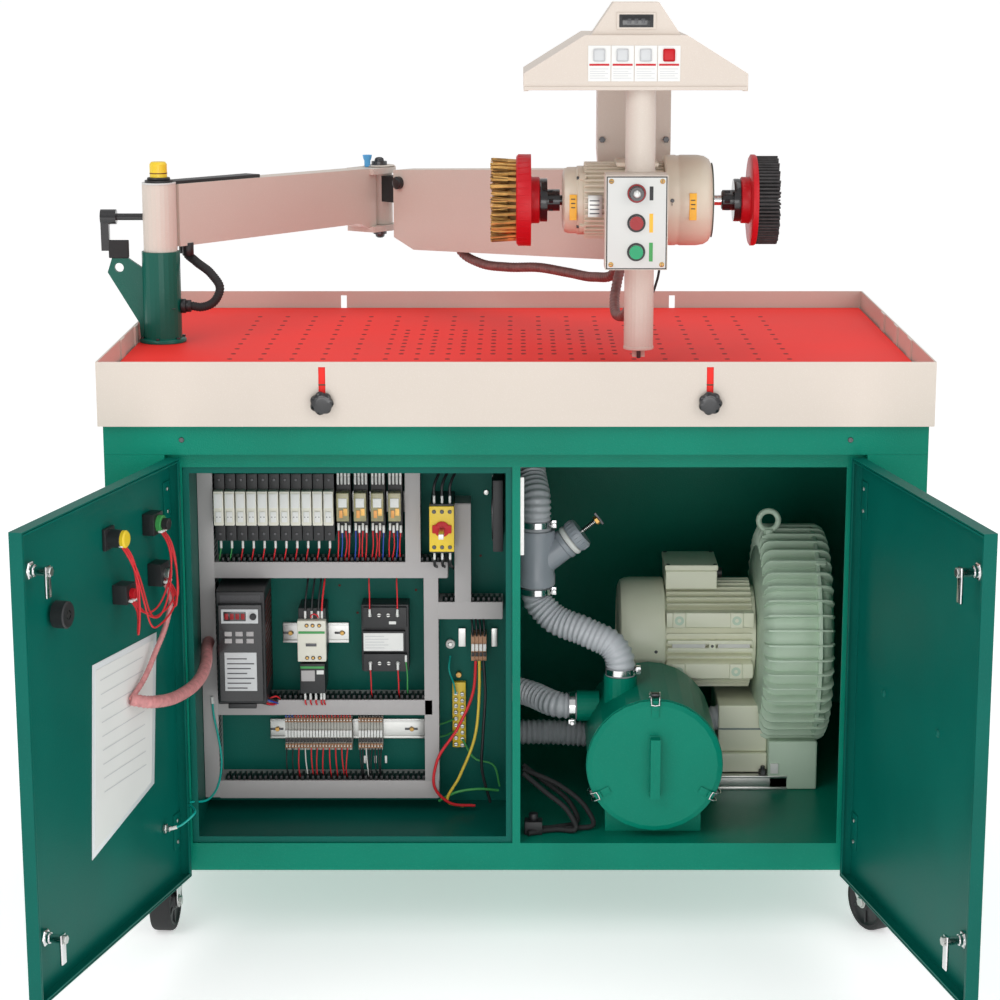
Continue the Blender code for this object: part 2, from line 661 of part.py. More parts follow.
def head_carrier():
    """Column behind the motor with a bearing face, a web below, and a tongue into the forearm."""
    front, back = -37.0, 42.0
    outline = [(150, 176), (162, 150), (238, 150), (252, 176), (262, 330), (262, 520), (138, 520), (138, 330)]
    body = prism("head_carrier", outline, (front, back), "Y", CREAM)
    x, y, z = head_at()
    angle = math.radians(FOREARM_ANGLE)
    tongue = box("carrier_tongue", (-22, 66), (-15, 15), (-46, 14))
    tongue.rotation_euler = (0, 0, angle)
    tongue.location = (x * MM, y * MM, z * MM)
    pin = turned(
        "level_pin",
        [(0, -32), (12, -32), (12, -24.3), (8, -24.3), (8, 24.3), (12, 24.3), (12, 32), (0, 32)],
        (0, 0),
        "Y",
        steps=20,
    )
    pin.rotation_euler = (0, 0, angle)
    pin.location = (x * MM, y * MM, z * MM)
    bearing = rod("carrier_bearing", (HEAD_X, MOTOR_Z), 44, (front - 6, front + 9), "Y")
    return weld(body, tongue, pin, bearing)


def hood():
    (x0, x1), (y0, y1) = HOOD_X, HOOD_Y
    outline = [(x0, 445), (x0, 471), (109, 531), (271, 531), (x1, 471), (x1, 445)]
    shell = prism("hood", outline, (y0, y1), "Y", CREAM)
    inner = [(x0 + 3, 440), (x0 + 3, 469), (110, 528), (270, 528), (x1 - 3, 469), (x1 - 3, 440)]
    cut(shell, prism("hood_inside", inner, (y0 + 3, y1 - 3), "Y"))
    readout = [(118, 529), (119, 531), (154, 582), (226, 582), (261, 531), (262, 529)]
    return weld(shell, prism("readout_box", readout, (-284, -214), "Y"))


def handle_bar():
    centre = (HEAD_X, HANDLE_Y)
    profile = [(0, 26), (HANDLE_R, 26), (HANDLE_R, 528 - GAP), (0, 528 - GAP)]
    bar = turned("handle_bar", profile, centre, "Z", CREAM)
    tenon = box("handle_tenon", (HEAD_X - 10, HEAD_X + 10), (HANDLE_Y - 10, HANDLE_Y + 10), (14, 30))
    panel = box("handle_panel", PANEL_X, (PANEL_FACE_Y, HANDLE_Y - 10), PANEL_Z)
    weld(bar, tenon, panel)
    for z in BUTTON_Z:
        cut(bar, rod(f"button_hole_{z:.0f}", (BUTTON_X, z), STEM_R + GAP, (PANEL_FACE_Y - 9, PANEL_FACE_Y + 14), "Y", steps=16))
    return bar


def panel_button(name, z, radius, length, look):
    """A cap that stands off the panel face by its travel, on a stem in the panel's hole."""
    stem_end, back, front = PANEL_FACE_Y + 8, PANEL_FACE_Y - PRESS - GAP, PANEL_FACE_Y - PRESS - length
    profile = [(0, stem_end), (STEM_R, stem_end), (STEM_R, back), (radius, back), (radius, front), (0, front)]
    return turned(name, profile, (BUTTON_X, z), "Y", look, steps=16)


def head_motor():
    centre = (MOTOR_Y, MOTOR_Z)
    bore = 8.8
    profile = [(bore, 77), (44, 77), (55, 84), (55, 112), (64, 114), (64, 245), (75, 247), (75, 318), (66, 325), (bore, 325)]
    motor = turned("head_motor", profile, centre, "X", CREAM, steps=28, ring=True)
    stub = rod("motor_stub", (HEAD_X, MOTOR_Z), 40, (MOTOR_Y + 40, -43 - GAP), "Y")
    cut(stub, rod("motor_stub_seat", centre, 60, (90, 330), "X", steps=28))
    lugs = box("motor_lugs", (150, 245), (MOTOR_Y - 30, MOTOR_Y + 30), (170, MOTOR_Z - 50))
    cut(lugs, box("motor_lug_gap", (165, 235), (-200, 0), (150, 188)))
    return weld(motor, stub, lugs)


def spindle():
    profile = [(0, 40), (35.5, 40), (35.5, 52), (18, 52), (18, 73), (8.5, 73), (8.5, 342), (17, 342), (17, 362)]
    profile += [(35, 362), (35, 373), (0, 373)]
    return turned("spindle", profile, (MOTOR_Y, MOTOR_Z), "X", BLACK)


def wire_brush():
    profile = [(0, -30), (40, -30), (40, -43), (69, -43), (69, 0), (76, 0), (76, 25), (38.5, 25), (38.5, 39.7), (0, 39.7)]
    return turned("wire_brush", profile, (MOTOR_Y, MOTOR_Z), "X", BRASS, steps=28)


def flap_disc():
    profile = [(0, 373.3), (38.5, 373.3), (38.5, 388), (75.5, 388), (75.5, 398), (73.5, 398), (73.5, 435), (40, 435)]
    profile += [(40, 420), (0, 420)]
    return turned("flap_disc", profile, (MOTOR_Y, MOTOR_Z), "X", RED, steps=28)


def looms():
    """Flexible spiral-wrapped leads that cross a joint."""
    post = [(-575, 47, 162.8), (-575, 47, 152), (-558, 30, 136), (-528, 8, 116), (-512, -4, 92), (-524, -7, 68)]
    post += [(-546, -7, 60), (-562, -7, 62), (-578.6, -7, 62)]
    tube("post_conduit", post, 8, BLACK)
    head = [(182, 10, 149.6), (182, 10, 134), (176, 4, 106), (170, -18, 76), (172, -52, 54), (184, -88, 58)]
    head += [(196, -116, 86), (200, -127, 124), (200, -127, 158), (200, -127, 187.6)]
    tube("head_loom", head, 9, PINK)
    door_lead = [(-594, -598, -468), (-580, -594, -472), (-552, -560, -482), (-524, -490, -488), (-510, -420, -486)]
    door_lead += [(-508, -360, -480), (-514, -300, -475), (-517, -262, -474), (-517, -243.6, -474)]
    tube("door_harness", door_lead, 10, PINK)


# ---------------------------------------------------------------- assembly


def build_cabinet():
    base_frame()
    side_panel(-1)
    side_panel(1)
    front_frame()
    back_panel()
    electrical_enclosure()
    vacuum_table()
    side_rail(-1)
    side_rail(1)
    wiring_duct()
    motor_drive()
    disconnect_switch()
    hose_fitting()
    hoses()
    column()
    _, impeller, _ = blower()
    mount_on(pivot("impeller_axis", (0, BLOWER_Y, BLOWER_Z)), impeller)
    _, lid = filter_drum()
    mount_on(pivot("lid_axis", (DRUM_X, DRUM_Y[0], DRUM_Z)), lid)


def build_fences():
    mount_on(pivot("front_fence_slide", (0, -RAIL_Y, 0)), front_fence())
    mount_on(pivot("rear_fence_slide", (0, RAIL_Y, 0)), rear_fence())
    for side, x in zip(("left", "right"), KNOB_X):
        mount_on(pivot(f"knob_axis_{side}", (x, -RAIL_Y, KNOB_Z)), star_knob(side, x))


def build_doors():
    for side, sign, angle in (("left", -1, -DOOR_OPEN_LEFT), ("right", 1, DOOR_OPEN_RIGHT)):
        at = (sign * DOOR_HINGE[0], DOOR_HINGE[1], 0)
        hinge = pivot(f"{side}_door_hinge", at)
        mount_on(hinge, door(side))
        for level, z in zip(("upper", "lower"), LATCH_Z):
            spot = (sign * LATCH_X, -412, z)
            axis = pivot(f"{side}_latch_axis_{level}", spot, hinge, at)
            mount_on(axis, latch(side, level))
        if side == "left":
            spot = (SWITCH_X, -412, SWITCH_Z)
            mount_on(pivot("switch_axis", spot, hinge, at), main_switch_handle())
        hinge.rotation_euler = (0, 0, math.radians(angle))


def build_casters():
    for name, (x, y, angle) in CASTER_SPOTS.items():
        swivel = pivot(f"swivel_{name}", (x, y, 0))
        fork, wheel = caster(name, x, y)
        mount_on(swivel, fork)
        at = (x + CASTER_TRAIL, y, WHEEL_Z)
        mount_on(pivot(f"axle_{name}", at, swivel, (x, y, 0)), wheel)
        swivel.rotation_euler = (0, 0, math.radians(angle))


def build_arm():
    x, y = COLUMN
    shoulder = pivot("shoulder", (x, y, 0))
    mount_on(shoulder, upper_arm())
    lever = pivot("lever_axis", (x - SLEEVE_R, y, 216), shoulder, (x, y, 0))
    mount_on(lever, clamp_lever())
    lever.location.rotate(Matrix.Rotation(-math.radians(UPPER_ARM_ANGLE), 3, "Z"))
    elbow_at = (x + UPPER_ARM_LENGTH, y)
    elbow = pivot("elbow", (*elbow_at, 0), shoulder, (x, y, 0))
    mount_on(elbow, elbow_knuckle(elbow_at))
    lift_at = (elbow_at[0] + LIFT_U, y, LIFT_Z)
    lift = pivot("lift_axis", lift_at, elbow, (*elbow_at, 0))
    mount_on(lift, forearm(elbow_at), forearm_loom(elbow_at))
    level = pivot("level_axis", (elbow_at[0] + HEAD_U, y, HEAD_Z), lift, lift_at)
    head = head_at()
    fixed = [head_carrier(), hood(), handle_bar(), bpy.data.objects["head_loom"]]
    mount_on(level, *fixed, at=head)
    buttons = (("rpm_knob", 11, 15, BLACK), ("alarm_button", 11, 6, RED), ("power_button", 11, 6, DARK_GREEN))
    for z, (name, radius, length, look) in zip(BUTTON_Z, buttons):
        axis = pivot(name + "_axis", (BUTTON_X, PANEL_FACE_Y, z), level, head)
        mount_on(axis, panel_button(name, z, radius, length, look))
    turn = pivot("head_turn_axis", (HEAD_X, MOTOR_Y, MOTOR_Z), level, head)
    mount_on(turn, head_motor())
    spin = pivot("spindle_axis", (HEAD_X, MOTOR_Y, MOTOR_Z), turn, (HEAD_X, MOTOR_Y, MOTOR_Z))
    mount_on(spin, spindle(), wire_brush(), flap_disc())
    shoulder.rotation_euler = (0, 0, math.radians(UPPER_ARM_ANGLE))
    lever.rotation_euler = (0, 0, -math.radians(UPPER_ARM_ANGLE))
    elbow.rotation_euler = (0, 0, math.radians(FOREARM_ANGLE - UPPER_ARM_ANGLE))
    level.rotation_euler = (0, 0, -math.radians(FOREARM_ANGLE))


def main():
    clear_scene()
    looms()
    build_cabinet()
    build_fences()
    build_doors()
    build_casters()
    build_arm()


main()
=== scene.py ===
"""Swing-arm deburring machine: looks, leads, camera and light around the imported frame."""

import math
import random

import bmesh
import bpy
from mathutils import Matrix, Vector


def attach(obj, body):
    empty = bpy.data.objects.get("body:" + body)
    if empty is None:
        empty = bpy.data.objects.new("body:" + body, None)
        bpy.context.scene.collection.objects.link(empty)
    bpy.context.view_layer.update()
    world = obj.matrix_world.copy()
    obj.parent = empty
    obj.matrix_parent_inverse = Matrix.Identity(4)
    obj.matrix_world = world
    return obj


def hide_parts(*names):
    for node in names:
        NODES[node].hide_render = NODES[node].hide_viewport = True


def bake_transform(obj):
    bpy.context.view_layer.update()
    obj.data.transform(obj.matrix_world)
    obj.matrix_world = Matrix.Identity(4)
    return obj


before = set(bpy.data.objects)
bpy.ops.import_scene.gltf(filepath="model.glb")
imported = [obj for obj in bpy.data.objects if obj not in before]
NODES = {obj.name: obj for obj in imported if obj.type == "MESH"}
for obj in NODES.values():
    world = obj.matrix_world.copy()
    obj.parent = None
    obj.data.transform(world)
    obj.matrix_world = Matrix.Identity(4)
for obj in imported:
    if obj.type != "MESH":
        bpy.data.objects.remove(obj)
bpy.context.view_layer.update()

MM = 0.001
RNG = random.Random(11)
WORLD_LIGHT, FLOOR_GLOW = 0.62, 0.42
FLOOR_Z, FLOOR_REACH = -0.944, 400

# ------------------------------------------------------------------ camera and light


def camera():
    data = bpy.data.cameras.new("studio_camera")
    obj = bpy.data.objects.new("studio_camera", data)
    bpy.context.scene.collection.objects.link(obj)
    obj.location = (0.0, -4.258, 0.645)
    obj.rotation_euler = (math.radians(77.7), 0, 0)
    data.lens = 88.96
    data.sensor_width = 36
    data.shift_x = -0.016
    data.clip_start, data.clip_end = 0.1, 900
    bpy.context.scene.camera = obj


def area(name, place, aim, size, power, colour=(1, 1, 1)):
    light = bpy.data.lights.new(name, "AREA")
    light.shape = "RECTANGLE"
    light.size, light.size_y = size
    light.energy = power
    light.color = colour
    obj = bpy.data.objects.new(name, light)
    bpy.context.scene.collection.objects.link(obj)
    obj.location = place
    obj.rotation_euler = (Vector(aim) - Vector(place)).to_track_quat("-Z", "Y").to_euler()


def studio():
    world = bpy.data.worlds.new("studio")
    bpy.context.scene.world = world
    bpy.context.scene.view_settings.view_transform = "Standard"
    world.use_nodes = True
    back = world.node_tree.nodes["Background"]
    back.inputs["Color"].default_value = (1.0, 1.0, 1.0, 1)
    back.inputs["Strength"].default_value = WORLD_LIGHT
    seen = world.node_tree.nodes.new("ShaderNodeBackground")
    seen.inputs["Color"].default_value = (1.0, 1.0, 1.0, 1)
    path = world.node_tree.nodes.new("ShaderNodeLightPath")
    mix = world.node_tree.nodes.new("ShaderNodeMixShader")
    world.node_tree.links.new(path.outputs["Is Camera Ray"], mix.inputs["Fac"])
    world.node_tree.links.new(back.outputs["Background"], mix.inputs[1])
    world.node_tree.links.new(seen.outputs["Background"], mix.inputs[2])
    world.node_tree.links.new(
        mix.outputs["Shader"], world.node_tree.nodes["World Output"].inputs["Surface"],
    )
    area("key_left", (-2.6, -3.2, 2.6), (0, 0, -0.1), (2.2, 2.2), 38)
    area("fill_right", (3.0, -3.0, 1.5), (0, 0, -0.2), (2.2, 2.6), 26)
    area("top_soft", (0.2, 0.2, 3.0), (0, 0, 0), (2.6, 2.2), 20)
    area("low_front", (0.0, -4.4, 0.0), (0, 0, -0.45), (2.6, 1.2), 26)
    bm = bmesh.new()
    corners = ((-1, -1), (1, -1), (1, 1), (-1, 1))
    bm.faces.new([bm.verts.new((FLOOR_REACH * x, FLOOR_REACH * y, FLOOR_Z)) for x, y in corners])
    mesh = bpy.data.meshes.new("studio_floor")
    bm.to_mesh(mesh)
    bm.free()
    floor = bpy.data.objects.new("studio_floor", mesh)
    bpy.context.scene.collection.objects.link(floor)
    pale = paint("floor_sweep", (0.98, 0.98, 0.98), 0.8, vary=0.01, bump=0.0)
    pale.node_tree.nodes["Principled BSDF"].inputs["Emission Color"].default_value = (1, 1, 1, 1)
    pale.node_tree.nodes["Principled BSDF"].inputs["Emission Strength"].default_value = FLOOR_GLOW
    mesh.materials.append(pale)


# ------------------------------------------------------------------ materials


def paint(
    name, colour, rough, metal=0.0, vary=0.06, scale=60.0, bump=0.1, grain=900.0, coat=0.0,
    rough_vary=0.08, fleck=0.0, spec=0.5,
):
    """Painted, moulded or cast surface: broad tone variation, grain bump, uneven gloss, flecks."""
    mat = bpy.data.materials.new(name)
    mat.use_nodes = True
    tree = mat.node_tree
    shader = tree.nodes["Principled BSDF"]
    coords = tree.nodes.new("ShaderNodeTexCoord")
    broad = tree.nodes.new("ShaderNodeTexNoise")
    broad.inputs["Scale"].default_value = scale / 10
    broad.inputs["Detail"].default_value = 4
    tree.links.new(coords.outputs["Object"], broad.inputs["Vector"])
    ramp = tree.nodes.new("ShaderNodeValToRGB")
    dark = [max(0.0, c * (1 - vary)) for c in colour]
    light = [min(1.0, c * (1 + vary)) for c in colour]
    ramp.color_ramp.elements[0].color = (*dark, 1)
    ramp.color_ramp.elements[0].position = 0.3
    ramp.color_ramp.elements[1].color = (*light, 1)
    ramp.color_ramp.elements[1].position = 0.7
    tree.links.new(broad.outputs["Fac"], ramp.inputs["Fac"])
    tone = ramp.outputs["Color"]
    fine = tree.nodes.new("ShaderNodeTexNoise")
    fine.inputs["Scale"].default_value = grain
    fine.inputs["Detail"].default_value = 3
    tree.links.new(coords.outputs["Object"], fine.inputs["Vector"])
    if fleck:
        spots = tree.nodes.new("ShaderNodeTexVoronoi")
        spots.inputs["Scale"].default_value = grain * 0.45
        tree.links.new(coords.outputs["Object"], spots.inputs["Vector"])
        pick = tree.nodes.new("ShaderNodeValToRGB")
        pick.color_ramp.elements[0].color = (1, 1, 1, 1)
        pick.color_ramp.elements[0].position = 0.12
        pick.color_ramp.elements[1].color = (0, 0, 0, 1)
        pick.color_ramp.elements[1].position = 0.3
        tree.links.new(spots.outputs["Distance"], pick.inputs["Fac"])
        amount = tree.nodes.new("ShaderNodeMath")
        amount.operation = "MULTIPLY"
        amount.inputs[1].default_value = fleck
        tree.links.new(pick.outputs["Color"], amount.inputs[0])
        mix = tree.nodes.new("ShaderNodeMix")
        mix.data_type = "RGBA"
        tree.links.new(amount.outputs["Value"], mix.inputs["Factor"])
        tree.links.new(tone, mix.inputs["A"])
        mix.inputs["B"].default_value = (*[min(1.0, c * 1.8 + 0.06) for c in colour], 1)
        tone = mix.outputs["Result"]
    tree.links.new(tone, shader.inputs["Base Color"])
    spread = tree.nodes.new("ShaderNodeMapRange")
    spread.inputs["To Min"].default_value = max(0.02, rough - rough_vary)
    spread.inputs["To Max"].default_value = min(1.0, rough + rough_vary)
    tree.links.new(broad.outputs["Fac"], spread.inputs["Value"])
    tree.links.new(spread.outputs["Result"], shader.inputs["Roughness"])
    if bump:
        relief = tree.nodes.new("ShaderNodeBump")
        relief.inputs["Strength"].default_value = bump
        relief.inputs["Distance"].default_value = 0.0006
        tree.links.new(fine.outputs["Fac"], relief.inputs["Height"])
        tree.links.new(relief.outputs["Normal"], shader.inputs["Normal"])
    shader.inputs["Metallic"].default_value = metal
    shader.inputs["Specular IOR Level"].default_value = spec
    if coat:
        shader.inputs["Coat Weight"].default_value = coat
        shader.inputs["Coat Roughness"].default_value = 0.15
    mat.diffuse_color = (*colour, 1)
    return mat


CREAM = paint(
    "cream_powder_coat", (0.67, 0.59, 0.52), 0.42, vary=0.025, scale=40, bump=0.35, grain=700, fleck=0.10,
)
GREEN = paint(
    "green_hammer_coat", (0.0, 0.215, 0.14), 0.36, vary=0.10, scale=50, bump=0.6, grain=420, coat=0.03,
    fleck=0.06, spec=0.14,
)
# Same green hammer coat at about half brightness, for inner faces and the enclosure: painted shade.
GREEN_SHADE = paint(
    "green_coat_painted_shade", (0.0, 0.115, 0.088), 0.42, vary=0.10, scale=50, bump=0.4, grain=420, coat=0.02,
    fleck=0.05, spec=0.14,
)
POST_GREEN = paint(
    "post_green_coat", (0.0, 0.105, 0.075), 0.34, vary=0.10, scale=50, bump=0.45, grain=420, coat=0.12,
    fleck=0.06, spec=0.3,
)
MAT_RED = paint(
    "mat_red_rubber", (0.96, 0.032, 0.024), 0.6, vary=0.05, scale=30, bump=0.3, grain=600, spec=0.3,
)
HOLE_DARK = paint("hole_shadow", (0.10, 0.012, 0.010), 0.8, vary=0.1, bump=0.1)
DUCT = paint("duct_grey_plastic", (0.450, 0.427, 0.427), 0.5, vary=0.04, bump=0.12)
BLACK = paint("black_moulding", (0.017, 0.017, 0.019), 0.42, vary=0.15, bump=0.25, grain=800)
GLOSS_BLACK = paint("black_gloss_moulding", (0.012, 0.012, 0.014), 0.2, vary=0.1, bump=0.06, coat=0.4)
RUBBER = paint("black_rubber", (0.02, 0.02, 0.021), 0.75, vary=0.15, bump=0.35, grain=500)
RED = paint("red_moulding", (0.56, 0.008, 0.016), 0.38, vary=0.05, bump=0.15, coat=0.08, spec=0.25)
RED_LENS = paint("red_button_lens", (0.33, 0.006, 0.010), 0.28, vary=0.06, bump=0.04, coat=0.1, spec=0.3)
GREEN_LENS = paint("green_button_lens", (0.0, 0.33, 0.13), 0.28, vary=0.06, bump=0.04, coat=0.1, spec=0.3)
YELLOW = paint("yellow_moulding", (0.86, 0.60, 0.02), 0.4, vary=0.04, bump=0.1, coat=0.2)
ORANGE = paint("orange_sticker", (0.93, 0.48, 0.03), 0.4, vary=0.04, bump=0.05)
WHITE = paint("white_moulding", (0.82, 0.82, 0.80), 0.42, vary=0.03, bump=0.08)
PAPER = paint("paper_sleeve", (0.80, 0.82, 0.84), 0.32, vary=0.04, scale=20, bump=0.12, grain=120, coat=0.3)
LABEL_GREY = paint("label_grey", (0.62, 0.63, 0.64), 0.4, vary=0.03, bump=0.04)
PLATE = paint("face_plate_grey", (0.66, 0.66, 0.64), 0.38, vary=0.03, bump=0.08)
STEEL = paint("zinc_steel", (0.62, 0.62, 0.60), 0.3, metal=1.0, vary=0.08, bump=0.12, grain=700)
BRIGHT = paint("polished_steel", (0.75, 0.75, 0.75), 0.16, metal=1.0, vary=0.05, bump=0.05)
DARK_STEEL = paint("dark_bolt_steel", (0.10, 0.10, 0.105), 0.35, metal=0.9, vary=0.15, bump=0.15)
BRASS = paint("brass_wire", (0.62, 0.37, 0.12), 0.36, metal=0.9, vary=0.28, scale=400, bump=0.5, grain=1400)
# Brass darkened to about a third, for the bristle roots and some strands: painted shade deep in the bundle.
BRASS_SHADE = paint(
    "brass_wire_painted_shade", (0.20, 0.11, 0.035), 0.6, metal=0.5, vary=0.4, scale=500, bump=0.5, grain=1400,
)
CAST = paint("cast_grey_green", (0.54, 0.68, 0.54), 0.42, vary=0.06, scale=50, bump=0.3, grain=500)
CAST_DARK = paint("cast_fin_shadow", (0.25, 0.30, 0.28), 0.5, metal=0.2, vary=0.08, bump=0.3, grain=500)
MOTOR_LIGHT = paint(
    "head_motor_paint", (0.70, 0.62, 0.50), 0.36, vary=0.05, scale=50, bump=0.25, grain=500, coat=0.2,
)
MOTOR = paint(
    "motor_cream_paint", (0.80, 0.81, 0.64), 0.36, vary=0.05, scale=50, bump=0.25, grain=500, coat=0.15,
)
HOSE = paint("hose_grey_plastic", (0.50, 0.52, 0.55), 0.34, vary=0.06, scale=80, bump=0.08, coat=0.3)
FITTING = paint("fitting_grey_pvc", (0.31, 0.34, 0.38), 0.35, vary=0.05, bump=0.08, coat=0.2)
LOOM_PINK = paint(
    "loom_pink_wrap", (0.60, 0.24, 0.24), 0.45, vary=0.2, scale=900, bump=0.4, grain=300, coat=0.2,
)
LOOM_BROWN = paint(
    "loom_brown_wrap", (0.22, 0.12, 0.11), 0.42, vary=0.25, scale=900, bump=0.4, grain=300, coat=0.2,
)
ABRASIVE = paint(
    "abrasive_flap", (0.045, 0.042, 0.043), 0.85, vary=0.35, scale=900, bump=0.9, grain=1500, fleck=0.12,
)
ALU = paint("nameplate_aluminium", (0.60, 0.60, 0.58), 0.35, metal=0.8, vary=0.08, bump=0.05)
GLASS_BLACK = paint("display_window", (0.006, 0.006, 0.008), 0.08, vary=0.1, bump=0.0, coat=0.8)
BLUE = paint("blue_cap", (0.10, 0.42, 0.80), 0.4, vary=0.05, bump=0.1)
CREAM_PART = paint("module_cream", (0.78, 0.76, 0.66), 0.4, vary=0.03, bump=0.05)
RELAY_CLEAR = paint("relay_tinted_case", (0.30, 0.27, 0.12), 0.18, vary=0.2, scale=600, bump=0.05, coat=0.6)
WIRE_BLUE = paint("wire_blue", (0.03, 0.08, 0.45), 0.4, vary=0.06, bump=0.05)
BROWN_TERM = paint("terminal_brown", (0.42, 0.22, 0.12), 0.5, vary=0.1, bump=0.1)
TERM_GREY = paint("terminal_grey", (0.45, 0.44, 0.40), 0.5, vary=0.06, bump=0.1)
COPPER = paint("relay_copper", (0.62, 0.30, 0.10), 0.4, metal=0.7, vary=0.2, bump=0.1)
WIRE_RED = paint("wire_red", (0.70, 0.02, 0.03), 0.4, vary=0.06, bump=0.05)
WIRE_BLACK = paint("wire_black", (0.018, 0.018, 0.02), 0.4, vary=0.1, bump=0.05)
WIRE_TEAL = paint("wire_teal", (0.0, 0.40, 0.34), 0.4, vary=0.05, bump=0.05)
WIRE_WHITE = paint("wire_white", (0.75, 0.75, 0.72), 0.4, vary=0.05, bump=0.05)
WIRE_GREEN = paint("wire_green", (0.05, 0.33, 0.08), 0.4, vary=0.06, bump=0.05)
WIRE_YELLOW = paint("wire_yellow", (0.75, 0.55, 0.06), 0.4, vary=0.06, bump=0.05)

# ------------------------------------------------------------------ mesh tools

AXES = {
    "Z": Matrix(((1, 0, 0), (0, 1, 0), (0, 0, 1))),
    "Y": Matrix(((1, 0, 0), (0, 0, 1), (0, 1, 0))),
    "X": Matrix(((0, 0, 1), (1, 0, 0), (0, 1, 0))),
}


def frames_along(path):
    """Unit tangent and a twist-free side vector at each point of a path."""
    path = [Vector(p) for p in path]
    out = []
    side = None
    for i, p in enumerate(path):
        ahead = path[min(i + 1, len(path) - 1)] - path[max(i - 1, 0)]
        tangent = ahead.normalized()
        if side is None:
            side = tangent.orthogonal().normalized()
        side = (side - tangent * side.dot(tangent)).normalized()
        out.append((p, tangent, side))
    return out


def smooth_path(points, step=6.0, straight=True):
    """Smooth curve through stations, in even steps; the first and last stretch may stay straight."""
    pts = [Vector(p) for p in points]
    gaps = [(b - a).length for a, b in zip(pts, pts[1:])]
    ways = [(b - a) / gap for a, b, gap in zip(pts, pts[1:], gaps)]
    turns = [ways[0]]
    for k in range(1, len(pts) - 1):
        turns.append((ways[k - 1] * gaps[k] + ways[k] * gaps[k - 1]) / (gaps[k - 1] + gaps[k]))
    turns.append(ways[-1])
    if straight and len(pts) > 3:
        turns[1], turns[-2] = ways[0], ways[-1]
    raw = []
    for k, gap in enumerate(gaps):
        for n in range(16):
            t = n / 16
            raw.append(
                (2 * t**3 - 3 * t**2 + 1) * pts[k]
                + (t**3 - 2 * t**2 + t) * gap * turns[k]
                + (3 * t**2 - 2 * t**3) * pts[k + 1]
                + (t**3 - t**2) * gap * turns[k + 1]
            )
    raw.append(pts[-1])
    total = sum((b - a).length for a, b in zip(raw, raw[1:]))
    count = max(2, round(total / step))
    out, run, goal, k = [raw[0]], 0.0, total / count, 1
    for a, b in zip(raw, raw[1:]):
        length = (b - a).length
        while k < count and run + length >= goal * k:
            out.append(a.lerp(b, (goal * k - run) / max(length, 1e-9)))
            k += 1
        run += length
    out.append(raw[-1])
    return out


